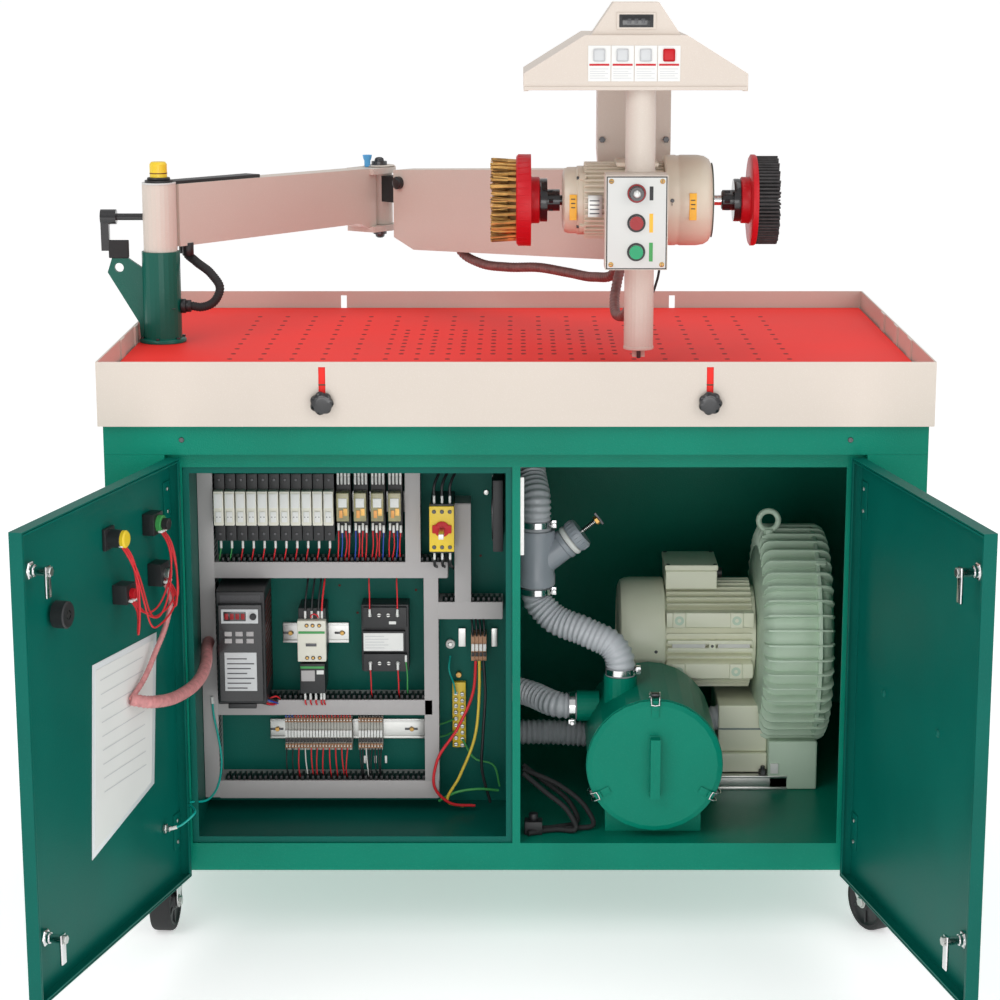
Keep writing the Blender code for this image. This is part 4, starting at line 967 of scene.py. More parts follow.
def relays():
    gear = Piece()
    wires = Piece()
    gear.box((-528 + 26, -184.6), (-190.5, -183.4), (-262, -227), STEEL, bevel=0.8)
    for k in range(11):
        x = -502 + 18.2 * k
        gear.box((x + 0.4, x + 17.6), (-243, -190.7), (-300, -186), BLACK, bevel=1.2)
        gear.box((x + 0.8, x + 17.2), (-262, -243.2), (-270, -212), CREAM_PART, bevel=1.3)
        gear.box((x + 2.2, x + 15.8), (-263.4, -261.8), (-240, -216), WHITE, bevel=0.4)
        gear.box((x + 4, x + 14), (-264.0, -262.4), (-264, -246), WHITE, bevel=0.8)
        for dx in (6.4, 11.6):
            gear.rod((x + dx, -255), 0.9, (-264.4, -263.2), DARK_STEEL, "Y", 8)
        for z in (-196, -288):
            gear.rod((x + 9, z), 2.6, (-244.2, -242.4), DARK_STEEL, "Y", 12)
        ferrule(wires, x + 9, -238, -301, True)
        colour = WIRE_GREEN if k < 2 else WIRE_RED
        wire(
            wires, [(x + 9, -238, -313), (x + 8, -240, -320), (x + 5.5, -236, -332), (x + 5, -228, -338)],
            colour,
        )
    for k in range(4):
        x = -299 + 28.6 * k
        gear.box((x, x + 24), (-236, -190.7), (-296, -184), BLACK, bevel=1.2)
        gear.box((x + 1.6, x + 22.4), (-266, -236.2), (-262, -214), RELAY_CLEAR, bevel=1.4)
        gear.box((x + 5, x + 19), (-267.0, -265.6), (-238, -223), WHITE, bevel=0.4)
        gear.box((x + 6, x + 12), (-267.2, -265.6), (-256, -243), COPPER, bevel=0.5)
        gear.box((x + 13, x + 20), (-267.2, -265.6), (-252, -240), BRASS, bevel=0.5)
        for n in range(4):
            tx = x + 3 + 6 * n
            for z in (-192, -204):
                gear.rod((tx, z), 1.9, (-237.4, -235.6), STEEL, "Y", 10)
                ferrule(wires, tx, -240, z + 1, False)
            ferrule(wires, tx, -240, -270 - (n % 2) * 4, True)
            colour = WIRE_BLUE if (k + n) % 4 == 1 else WIRE_RED
            wire(
                wires,
                [
                    (tx, -240, -284), (tx + RNG.uniform(-2, 2), -242, -306), (tx - 2, -236, -330),
                    (tx - 3, -228, -338),
                ],
                colour,
            )
    for k in range(34):
        x = -500 + 9.3 * k
        wire(
            wires, [(x, -236, -186), (x + 1, -242, -180), (x + 1, -240, -170), (x, -225, -162)],
            WIRE_BLACK,
        )
    gear.done("relay_row", "cabinet", smooth=40)
    wires.done("relay_wires", "cabinet", smooth=70)


def contactor_and_transformer():
    gear = Piece()
    gear.box((-397, -285), (-190.5, -183.4), (-491, -456), STEEL, bevel=0.6)
    for z in (-488, -459):
        gear.box((-397, -285), (-193.5, -190), (z - 1.6, z + 1.6), STEEL, bevel=0.4)
    for x in (-388, -300):
        # Rail slots drawn as dark steel strips: painted shade in the slot.
        gear.box((x - 9, x + 9), (-191.2, -190.3), (-475.5, -471.5), DARK_STEEL, bevel=0.3)
        gear.rod((x + 4, -473.5), 4.0, (-194, -191), BRASS, "Y", 16)
    gear.box((-365, -319), (-252, -191), (-506, -414), BLACK, bevel=1.5)
    gear.box((-366, -318), (-267, -250), (-503, -432), CREAM_PART, bevel=2.0)
    gear.box((-364, -320), (-268.0, -266.4), (-454, -450), WIRE_GREEN, bevel=0.3)
    gear.box((-352, -334), (-268.2, -266.6), (-476, -471), DARK_STEEL, bevel=0.5)
    for x in (-352, -342, -331):
        for z in (-440, -496):
            gear.rod((x + 2, z), 3.4, (-268.4, -266.4), DARK_STEEL, "Y", 14)
            gear.rod((x + 2, z), 2.2, (-268.9, -268.1), BRASS, "Y", 12)
    gear.box((-363, -321), (-262, -191), (-560, -508), BLACK, bevel=1.6)
    gear.box((-362, -322), (-263.4, -261.4), (-516, -512), WIRE_GREEN, bevel=0.4)
    gear.box((-361, -338), (-264.0, -261.6), (-538, -519), DUCT, bevel=1.0)
    gear.box((-335, -323), (-263.4, -261.4), (-526, -519), WHITE, bevel=0.5)
    gear.box((-261, -181), (-228, -183.4), (-530, -414), BLACK, bevel=2.0)
    gear.box((-258, -184), (-236, -227), (-452, -417), BLACK, bevel=1.6)
    gear.box((-258, -184), (-236, -227), (-529, -498), BLACK, bevel=1.6)
    gear.box((-259, -187), (-238, -227.6), (-494, -458), BLACK, bevel=1.0)
    gear.box((-257, -190), (-239.0, -237.6), (-492, -461), WHITE, bevel=0.4)
    for n, z in enumerate((-466, -471, -476, -481, -486)):
        gear.box((-254, -222 + 7 * (n % 2)), (-239.5, -238.9), (z - 1, z), LABEL_GREY)
    for n in range(4):
        x = -246 + 15.5 * n
        for z in (-430, -514):
            gear.rod((x, z), 3.6, (-238.5, -235.4), STEEL, "Y", 16)
            # Screw slot drawn as a dark steel strip: painted shade in the groove.
            gear.box((x - 3, x + 3), (-239.2, -238), (z - 0.8, z + 0.8), DARK_STEEL)
    gear.box((-214, -202), (-237, -235.4), (-446, -441), WHITE, bevel=0.3)
    gear.done("contactor_and_transformer", "cabinet", smooth=40)
    wires = Piece()
    for x, colour in ((-353, WIRE_BLACK), (-342, WIRE_BLACK), (-331, WIRE_BLACK), (-325, WIRE_RED)):
        ferrule(wires, x, -258, -430, False)
        wire(
            wires, [(x, -258, -417), (x + 1, -256, -400), (x + 3, -240, -378), (x + 4, -222, -364)],
            colour, 1.6,
        )
    wire(
        wires, [(-343, -260, -428), (-341, -268, -420), (-334, -268, -420), (-331, -260, -428)], WIRE_RED,
        1.3,
    )
    for x in (-356, -347, -338, -329, -324):
        ferrule(wires, x, -250, -561, True)
        wire(
            wires, [(x, -250, -572), (x, -252, -578), (x + 2, -240, -586), (x + 2, -226, -584)], WIRE_RED,
            1.4,
        )
    for x in (-246, -199.5):
        ferrule(wires, x, -240, -432, False)
        up = [(x, -240, -418), (x, -240, -395), (x - 1, -232, -372), (x - 1, -222, -362)]
        wire(wires, up, WIRE_RED, 1.2)
    for x in (-246, -199.5):
        ferrule(wires, x, -240, -512, True)
        down = [(x, -240, -524), (x + 1, -240, -545), (x + 1, -232, -568), (x + 2, -222, -578)]
        wire(wires, down, WIRE_RED, 1.2)
    wires.rod((-186, -236), 2.1, (-512, -500), WHITE, "Z", 10)
    wire(
        wires, [(-186, -236, -512), (-184, -234, -535), (-184, -230, -560), (-184, -222, -578)],
        WIRE_GREEN, 1.3,
    )
    for k in range(7):
        a, b = RNG.uniform(-14, 14), RNG.uniform(-6, 6)
        colour = (WIRE_RED, WIRE_BLACK, WIRE_RED, WIRE_BLUE)[k % 4]
        points = [
            (-402 + a / 3, -236 + b, -584), (-410 + a / 4, -258 + b, -574 + a / 2),
            (-440 + a, -262 + b, -570 - b), (-470 + a, -246, -572), (-488, -232, -586),
        ]
        wire(wires, points, colour, 1.5)
    wires.done("control_wires", "cabinet", smooth=70)


def terminals():
    gear = Piece()
    wires = Piece()
    gear.box((-422, -153), (-190.5, -183.4), (-662, -627), STEEL, bevel=0.6)
    for z in (-659, -630):
        gear.box((-422, -153), (-193.5, -190), (z - 1.6, z + 1.6), STEEL, bevel=0.4)
    for x in (-411, -180):
        # Rail slots drawn as dark steel strips: painted shade in the slot.
        gear.box((x - 11, x + 11), (-191.2, -190.3), (-646.5, -642.5), DARK_STEEL, bevel=0.3)
        gear.rod((x + 1, -644.5), 4.0, (-194, -191), BRASS, "Y", 16)
    for start, count in ((-394, 22), (-269, 8)):
        for k in range(count):
            x = start + 5.2 * k
            gear.box((x + 0.25, x + 4.95), (-222, -190.7), (-672, -612), TERM_GREY, bevel=0.5)
            gear.box((x + 0.5, x + 4.7), (-227, -221.8), (-648, -636), WHITE, bevel=0.4)
            for z in (-618, -664):
                gear.box((x + 0.4, x + 4.8), (-225.5, -221.8), (z - 4, z + 4), BROWN_TERM, bevel=0.6)
                gear.rod((x + 2.6, z), 1.5, (-226.4, -225.2), STEEL, "Y", 8)
            gear.box((x + 0.7, x + 4.5), (-224.4, -221.8), (-658, -651), BLACK, bevel=0.3)
            colours = (WIRE_BLUE, WIRE_BLACK) if start == -394 and k < 3 else (WIRE_RED, WIRE_RED)
            if start == -269:
                colours = (WIRE_BLACK, WIRE_WHITE if k == 2 else WIRE_BLACK)
            elif k in (3, 6, 21):
                colours = (WIRE_RED, WIRE_WHITE if k != 3 else WIRE_GREEN)
            sway = RNG.uniform(-3, 3)
            wire(
                wires,
                [(x + 2.6, -223, -614), (x + 2.6 + sway / 3, -232, -606), (x + 2 + sway, -226, -596)],
                colours[0],
            )
            if k % 2 == 0 or start == -269:
                wire(
                    wires,
                    [
                        (x + 2.6, -223, -668), (x + 2.6 + sway / 2, -233, -684),
                        (x + 3 + sway, -232, -705), (x + 4 + sway, -222, -722),
                    ],
                    colours[1],
                )
    for dx in (0, 18, 36):
        ferrule(wires, -258 + dx, -230, -680, True)
    gear.box((-109, -86), (-196, -183.4), (-676, -560), YELLOW, bevel=1.4)
    for k in range(9):
        z = -578 - 11.4 * k
        for x in (-103, -92):
            gear.rod((x, z - 2 * (x > -100)), 3.6, (-200.5, -195.6), STEEL, "Y", 14)
            # Screw slots drawn as dark steel strips: painted shade in the groove.
            gear.box(
                (x - 3, x + 3), (-201.2, -200.2), (z - 2.7 * (x > -100) - 0.6, z - 2.7 * (x > -100) + 0.6),
                DARK_STEEL,
            )
    gear.rod((-98, -548), 5, (-192, -183.4), BRASS, "Y", 18)
    for x0, x1 in ((-98, -86), (-42, -32)):
        gear.box((x0, x1), (-190.5, -183.4), (-498, -466), STEEL, bevel=0.6)
    for k in range(4):
        x = -76 + 6.6 * k
        gear.box((x, x + 6.2), (-222, -190.7), (-514, -468), BROWN_TERM, bevel=0.6)
        gear.box((x + 0.5, x + 5.7), (-226, -221.6), (-496, -484), WHITE, bevel=0.4)
        gear.box((x + 0.6, x + 5.6), (-224, -221.6), (-506, -499), BLACK, bevel=0.3)
        wire(
            wires, [(x + 3, -222, -470), (x + 3, -228, -462), (x + 2, -226, -448), (x, -216, -436)],
            WIRE_BLACK, 2.0,
        )
    gear.rod((-112, -494), 8, (-190, -183.4), WHITE, "Y", 24)
    gear.rod((-112, -494), 3.6, (-192, -189.6), STEEL, "Y", 14)
    loops = [
        (
            [
                (-68, -224, -514), (-72, -246, -560), (-98, -262, -620), (-134, -262, -680),
                (-138, -258, -728), (-112, -250, -758), (-70, -240, -766),
            ],
            WIRE_RED, 2.6,
        ),
        (
            [
                (-62, -224, -514), (-62, -244, -560), (-70, -256, -640), (-96, -252, -710),
                (-116, -246, -758), (-90, -236, -768),
            ],
            WIRE_YELLOW, 2.6,
        ),
        (
            [(-55, -224, -514), (-52, -240, -560), (-56, -246, -640), (-58, -240, -700), (-44, -234, -762)],
            WIRE_BLACK, 2.6,
        ),
        ([(-112, -200, -512), (-114, -214, -530), (-106, -206, -560), (-103, -202, -578)], WIRE_TEAL, 1.6),
        ([(-106, -200, -624), (-126, -214, -628), (-148, -214, -632)], WIRE_GREEN, 1.6),
        ([(-106, -200, -646), (-126, -216, -650), (-148, -214, -652)], WIRE_GREEN, 1.6),
        ([(-92, -200, -660), (-70, -216, -690), (-40, -216, -700), (-28, -214, -740)], WIRE_GREEN, 1.8),
        ([(-132, -238, -758), (-100, -250, -738), (-60, -246, -734), (-30, -236, -740)], WIRE_GREEN, 2.4),
    ]
    for points, colour, radius in loops:
        wire(wires, points, colour, radius)
    gear.done("terminal_rows", "cabinet", smooth=40)
    wires.done("terminal_wires", "cabinet", smooth=70)


def drive_and_disconnect():
    drive = Piece()
    drive.box((-497, -416), (-300, -183.7), (-567, -373), BLACK, bevel=2.5, segments=3)
    drive.box((-493.5, -419.5), (-312, -299), (-560, -392), GLOSS_BLACK, bevel=2.5, segments=3)
    for k in range(11):
        z = -380 - 1.5 * k
        drive.box((-490, -423), (-300.6, -299.4), (z - 0.4, z + 0.2), DARK_STEEL)
    for x in (-497.2, -415.8):
        for k in range(16):
            z = -540 + 9.6 * k
            drive.box((x - 0.35, x + 0.35), (-290, -200), (z, z + 4), HOLE_DARK)
    drive.box((-487, -426), (-313.2, -311.6), (-424, -400), LABEL_GREY, bevel=0.5)
    drive.box((-483, -446), (-313.8, -312.8), (-420, -404), GLASS_BLACK, bevel=0.5)
    for k in range(4):
        drive.box((-481 + 9 * k, -475 + 9 * k), (-314.1, -313.5), (-417, -407), RED_LENS, bevel=0.4)
    drive.rod((-434, -412), 5.5, (-318, -312), BLACK, "Y", 24)
    for k in range(3):
        for j in range(2):
            drive.box(
                (-482 + 18 * k, -470 + 18 * k), (-313.5, -311.6), (-446 - 12 * j, -438 - 12 * j), DUCT,
                bevel=0.9,
            )
    drive.box((-483, -430), (-312.9, -311.7), (-540, -474), LABEL_GREY, bevel=0.4)
    for k in range(7):
        drive.box(
            (-479, -446 + 6 * (k % 3)), (-313.3, -312.8), (-536 + 8.4 * k, -534 + 8.4 * k), DARK_STEEL,
        )
    drive.box((-480, -433), (-302, -294), (-574, -566), BLACK, bevel=1.0)
    drive.done("inverter_drive", "cabinet", smooth=40, replaces=("motor_drive",))
    cut_off = Piece()
    x, z = -122, -270
    cut_off.box((-142, -103), (-286, -183.7), (-311, -228), BLACK, bevel=1.5)
    cut_off.box((-143, -102), (-290, -250), (-308, -231), YELLOW, bevel=1.8)
    cut_off.spin(
        [(9, -290), (13, -291.5), (13, -293.4), (9, -294.6), (0, -294.6), (0, -290)], (x, z + 1), RED, "Y",
        32,
    )
    cut_off.box((x - 16, x + 16), (-294.8, -290.2), (z - 6, z + 8), RED, bevel=1.8)
    for sx in (-135, -122, -109):
        for sz in (-240, -300):
            cut_off.rod((sx, sz), 3.4, (-291.6, -289.8), DARK_STEEL, "Y", 14)
    cut_off.box((x - 4.2, x + 4.2), (-345, -294), (z - 4.2, z + 4.2), STEEL, bevel=0.6)
    cut_off.done(
        "disconnect_body", "cabinet", smooth=40, replaces=("disconnect_switch",),
    )
    wires = Piece()
    for sx in (-135, -122, -109):
        ferrule(wires, sx, -280, -228, False)
        ferrule(wires, sx, -280, -311, True)
        wire(
            wires, [(sx, -280, -214), (sx, -280, -200), (sx + 8, -268, -180), (sx + 20, -240, -164)],
            WIRE_BLACK, 2.4,
        )
        wire(
            wires, [(sx, -280, -322), (sx, -276, -332), (sx + 2, -250, -342), (sx + 4, -232, -350)],
            WIRE_BLACK, 2.4,
        )
    wires.done("supply_wires", "cabinet", smooth=70)
    fan = Piece()
    fan.box((-38, -21), (-307, -187), (-304, -183.8), BLACK, bevel=2.0)
    for r in (52, 40, 28, 16):
        fan.spin(
            [(r, -40.0), (r + 1.2, -39.6), (r + 1.2, -38.4), (r, -38.2)], (-247, -243), DARK_STEEL, "X",
            48, ring=True,
        )
    for k in range(4):
        turned = turn_about((0, -247, -243), "X", 45 * k)
        fan.box((-39.8, -38.4), (-303, -191), (-243.6, -242.4), DARK_STEEL, turn=turned)
    fan.rod((-247, -243), 15, (-41, -38), BLACK, "X", 30)
    fan.done("side_fan", "cabinet", smooth=40)


def extra_panel_marks():
    marks = Piece()
    holes = ((-300, -392), (-270, -440), (-170, -400), (-60, -540), (-200, -560), (-440, -600), (-60, -340))
    for x, z in holes:
        marks.rod((x, z), 2.2, (-183.9, -183.2), HOLE_DARK, "Y", 10)
    for x, z in ((-50, -230), (-60, -160), (-520, -160)):
        marks.spin(
            [(0, -186.5), (4, -186), (5, -184.4), (5.4, -183.3), (0, -183.3)], (x, z), STEEL, "Y", 16,
        )
    marks.box((5, 13), (-387.6, -386.2), (-290, -162), WHITE, bevel=0.6)
    marks.done("panel_marks", "cabinet")


# ------------------------------------------------------------------ suction bay


def blower():
    y, z = -10, -521
    dress("blower_impeller", STEEL)
    shell = Piece()
    body = [
        (0, 421), (118, 421), (150, 425), (168, 433), (176, 446), (176, 530), (168, 541), (150, 547),
        (118, 549),
    ]
    shell.spin(body + [(0, 549)], (y, z), CAST, "X", 72)
    shell.spin(
        [(186, 516), (189, 518), (189, 523), (186, 525), (170, 525), (170, 516)], (y, z), CAST, "X", 72,
        ring=True,
    )
    for k in range(46):
        angle = 360 * k / 46
        turn = turn_about((0, y, z), "X", angle)
        outline = [
            (426, 120), (426, 176), (431, 188), (440, 192.5), (531, 192.5), (541, 187), (546, 176),
            (546, 120),
        ]
        fin = [(x, y + r) for x, r in outline]
        shell.plate(fin, (z - 1.7, z + 1.7), CAST, "Z", turn=turn, bevel=0.7)
        if k % 12 == 4:
            shell.box((516, 534), (y + 180, y + 192), (z - 7, z + 7), CAST, turn=turn, bevel=1.5)
    shell.box((442, 528), (-120, 100), (-778.5, -690), CAST, bevel=4, segments=3)
    shell.box((450, 520), (-96, 76), (-700, -650), CAST, bevel=4, segments=3)
    for fy in (-118, 98):
        shell.box((448, 522), (fy - 1.5, fy + 1.5), (-774, -700), CAST_DARK, bevel=1.0)
    shell.rod((-70, -660), 24, (395.3, 442), CAST, "X", 40)
    shell.spin([(24.2, 398), (26, 399), (26, 407), (24.2, 408)], (-70, -660), STEEL, "X", 40)
    shell.done(
        "blower_finned_housing", "cabinet", smooth=38, replaces=("blower_housing",),
    )
    eye = Piece()
    turns = [math.tau * k / 36 for k in range(37)]
    ring = [Vector((442 + 17 * math.cos(t), y - 30, -311 + 17 * math.sin(t))) for t in turns]
    eye.sweep(ring, 5.2, CAST, sides=14, caps=False)
    eye.rod((442, y - 30), 9, (-346, -326), CAST, "Z", 24)
    eye.box((430, 454), (y - 42, y - 18), (-352, -342), CAST, bevel=2)
    eye.done("blower_lifting_eye", "cabinet", smooth=60)
    motor = Piece()
    cover = [
        (0, 181), (60, 181), (62, 179.3), (84, 180), (93, 184), (97, 192), (98, 202), (98, 257),
        (96.5, 260), (80, 260),
    ]
    motor.spin(cover + [(0, 260)], (y, z), MOTOR, "X", 64)
    motor.rod((y, z), 84, (260, 419.4), MOTOR, "X", 64)
    for k in range(44):
        angle = 90 + 360 * (k + 0.5) / 44
        wide = k % 11 in (0, 10)
        turn = turn_about((0, y, z), "X", angle)
        motor.box(
            (264, 412), (y + 78, y + 97), (z - (3.2 if wide else 1.4), z + (3.2 if wide else 1.4)), MOTOR,
            turn=turn, bevel=0.8,
        )
    for dz in (-46, 46):
        motor.box((262, 414), (y - 94, y - 70), (z + dz - 13, z + dz + 13), MOTOR, bevel=2)
        for x in (284, 384):
            motor.box(
                (x - 12, x + 12), (y - 97, y - 80), (z + dz - 14, z + dz + 14), MOTOR, bevel=3, segments=3,
            )
            motor.spin(
                [(3.2, y - 96.0), (7.4, y - 96.0), (8.2, y - 97.4), (3.4, y - 97.4)], (x, z + dz), CAST,
                "Y", 24, ring=True,
            )
            motor.rod((x, z + dz), 3.3, (y - 96.4, y - 94), DARK_STEEL, "Y", 14)
    motor.box((336, 348), (y - 97, y - 88), (z - 8, z + 8), MOTOR, bevel=1.5)
    motor.rod((342, z), 2.6, (y - 97.8, y - 96), DARK_STEEL, "Y", 14)
    for x0, x1 in ((272, 330), (352, 408)):
        motor.box((x0, x1), (y - 95, y - 90), (z - 3.5, z + 3.5), PLATE, bevel=0.8)
    motor.rod((244, z - 10), 3.0, (y - 98.2, y - 92), DARK_STEEL, "Y", 14)
    motor.box((262, 352), (-62, 42), (-430, -397), MOTOR, bevel=2.5, segments=3)
    motor.box((260.5, 353.5), (-63.5, 43.5), (-396.5, -386.3), MOTOR, bevel=2.2, segments=3)
    for x in (266, 348):
        for ty in (-58, 38):
            motor.rod((x, ty), 3.6, (-388, -385.4), DARK_STEEL, "Z", 14)
    motor.box((270, 344), (-40, 20), (-442, -429), MOTOR, bevel=2)
    motor.rod((-10, -412), 9, (352, 364), BLACK, "X", 24)
    motor.done("blower_motor_body", "cabinet", smooth=38, replaces=("blower_motor",))
    base = Piece()
    base.box((356, 441.6), (-96, 76), (-716, -632), MOTOR, bevel=3, segments=3)
    base.box((344, 441.6), (-104, 84), (-752, -717), MOTOR, bevel=3, segments=3)
    base.box((356, 441.6), (-97.2, -96), (-676, -673), CAST_DARK)
    for ry in (-122, 84):
        base.box((352, 476), (ry, ry + 24), (-778.7, -774), STEEL, bevel=0.6)
        base.box((352, 476), (ry + 2, ry + 5), (-774.4, -754), STEEL, bevel=0.6)
        base.box((352, 476), (ry, ry + 22), (-757, -753), STEEL, bevel=0.6)
    for x in (434, 466):
        base.hexnut((x, -110), 7, (-752.8, -744), DARK_STEEL, "Z")
        base.rod((x, -110), 4, (-746, -738), DARK_STEEL, "Z", 14)
    base.box((446, 460), (-124, -119), (-748, -730), WHITE, bevel=1)
    base.done("blower_base_rails", "cabinet", smooth=38)


def drum():
    dress("filter_drum", GREEN, 1.0)
    dress("filter_lid", GREEN, 1.2)
    x, z = 229, -653
    clips = Piece()
    for angle in (0, 118, 242):
        turn = turn_about((x, 0, z), "Y", angle)
        clips.box((x - 9, x + 9), (-345, -322), (z + 109.5, z + 113), BRIGHT, turn=turn, bevel=0.8)
        clips.box((x - 7, x + 7), (-349, -334), (z + 112, z + 118), DARK_STEEL, turn=turn, bevel=1.2)
        for dx in (-8, 8):
            loop = [
                (x + dx, -334, z + 116), (x + dx, -350, z + 121), (x + dx * 0.9, -364, z + 118),
                (x + dx * 0.8, -371, z + 106),
            ]
            clips.sweep(smooth_path(loop, 3, straight=False), 1.3, BRIGHT, sides=8, turn=turn)
        clips.sweep(
            [(x - 7, -371, z + 106), (x, -371.5, z + 105), (x + 7, -371, z + 106)], 1.3, BRIGHT, sides=8,
            turn=turn,
        )
    clips.done("drum_toggle_clips", "cabinet", smooth=50)
    catches = Piece()
    for angle in (0, 118, 242):
        turn = turn_about((x, 0, z), "Y", angle)
        catches.box((x - 6, x + 6), (-370.2, -368.0), (z + 84, z + 103), GREEN, turn=turn, bevel=0.7)
        catches.box((x - 6.5, x + 6.5), (-373.4, -369.6), (z + 100, z + 104), GREEN, turn=turn, bevel=0.7)
    catches.spin(
        [(106.2, -355.6), (113.2, -355.6), (113.2, -360), (106.2, -360)], (x, z), GREEN, "Y", 72,
        ring=True,
    )
    for dz in (44, -44):
        catches.box(
            (x - 9.5, x + 9.5), (-370.2, -368), (z + dz, z + dz + (9 if dz > 0 else -9)), GREEN, bevel=0.8,
        )
    catches.done("lid_catches", "filter_lid", smooth=40)


def band(piece, centre, axis, r, mat=None):
    """Worm-drive hose clamp round a hose."""
    direction = Vector(axis).normalized()
    spin = Vector((0, 0, 1)).rotation_difference(direction).to_matrix().to_4x4()
    place = Matrix.Translation(Vector(centre)) @ spin
    piece.spin(
        [(r, -5), (r + 1.1, -5), (r + 1.1, 5), (r, 5)], (0, 0), mat or BRIGHT, "Z", 44, ring=True,
        turn=place,
    )
    piece.box((r, r + 8), (-8, 8), (-6.5, 6.5), mat or BRIGHT, turn=place, bevel=1.0)
    piece.rod(
        (0, 0), 3.6, (-14, -8), BRIGHT, "Y", 12, turn=place @ Matrix.Translation(Vector((r + 4.5, 0, 0))),
    )


def fitting():
    y = -195
    pipe = Piece()
    pipe.spin(
        [
            (24, -291.9), (31, -291.9), (32.5, -296), (32.5, -312), (31, -316), (31, -366), (32.5, -370),
            (32.5, -385), (31, -387.9), (24, -387.9),
        ],
        (34, y), FITTING, "Z", 48,
    )
    place = Matrix.Translation(Vector((38, y, -352))) @ Matrix.Rotation(math.radians(52), 4, "Y")
    pipe.spin(
        [(0, 0), (24, 0), (24, 52), (26, 54), (26, 60), (24, 62), (20, 62)], (0, 0), FITTING, "Z", 44,
        turn=place,
    )
    pipe.spin(
        [(18, 62), (25, 63), (27, 66), (27, 70), (25, 72), (18, 72)], (0, 0), WHITE, "Z", 44, turn=place,
    )
    pipe.spin(
        [(18, 72), (26, 73), (27, 76), (27, 88), (25, 92), (0, 92)], (0, 0), FITTING, "Z", 44, turn=place,
    )
    for k in range(24):
        ridge = place @ Matrix.Rotation(math.radians(15 * k), 4, "Z")
        pipe.box((26.4, 27.8), (-1.2, 1.2), (76, 88), FITTING, turn=ridge, bevel=0.4)
    pipe.rod((0, 0), 3.2, (92, 127), STEEL, "Z", 16, turn=place)
    for k in range(9):
        pipe.spin(
            [(3.2, 96 + 3 * k), (4.6, 97 + 3 * k), (3.2, 98 + 3 * k)], (0, 0), DARK_STEEL, "Z", 18,
            turn=place,
        )
    pipe.hexnut((0, 0), 8, (121, 128), BRASS, "Z", turn=place)
    pipe.box((-12, 12), (-2.5, 2.5), (127, 131), DARK_STEEL, turn=place, bevel=1.0)
    pipe.done("valve_fitting", "cabinet", smooth=40, replaces=("hose_fitting",))
    clamps = Piece()
    band(clamps, (34, y, -281), (0, 0, 1), 26.2)
    band(clamps, (34, y, -397), (0, 0, 1), 26.2)
    band(clamps, (176, -250, -522), (0, 0, 1), 26.2)
    band(clamps, (96, -200, -600), (1, 0, 0), 23.4)
    band(clamps, (384, -70, -660), (1, 0, 0), 23.4)
    band(clamps, (20, -100, -82), (0, 0, 1), 26.2)
    clamps.done("hose_clamps", "cabinet", smooth=40)
    plumbing = Piece()
    for k, (dx, dy) in enumerate(((0, 0), (26, -22), (-4, -44))):
        path = [
            (12, -250 + dy, -690), (50 + dx, -262 + dy, -716), (92 + dx, -280 + dy, -748),
            (104 + dx, -300 + dy, -771), (70 + dx, -326 + dy / 4, -773), (20, -336 + dy / 2, -773),
        ]
        plumbing.sweep(smooth_path(path, 6, straight=False), 4.4, RUBBER, sides=12)
    plumbing.box((14, 44), (-352, -326), (-778.5, -756), BLACK, bevel=2)
    plumbing.rod((29, -339), 8, (-756, -744), BLACK, "Z", 20)
    plumbing.done("floor_cables", "cabinet", smooth=50)


# ------------------------------------------------------------------ arm


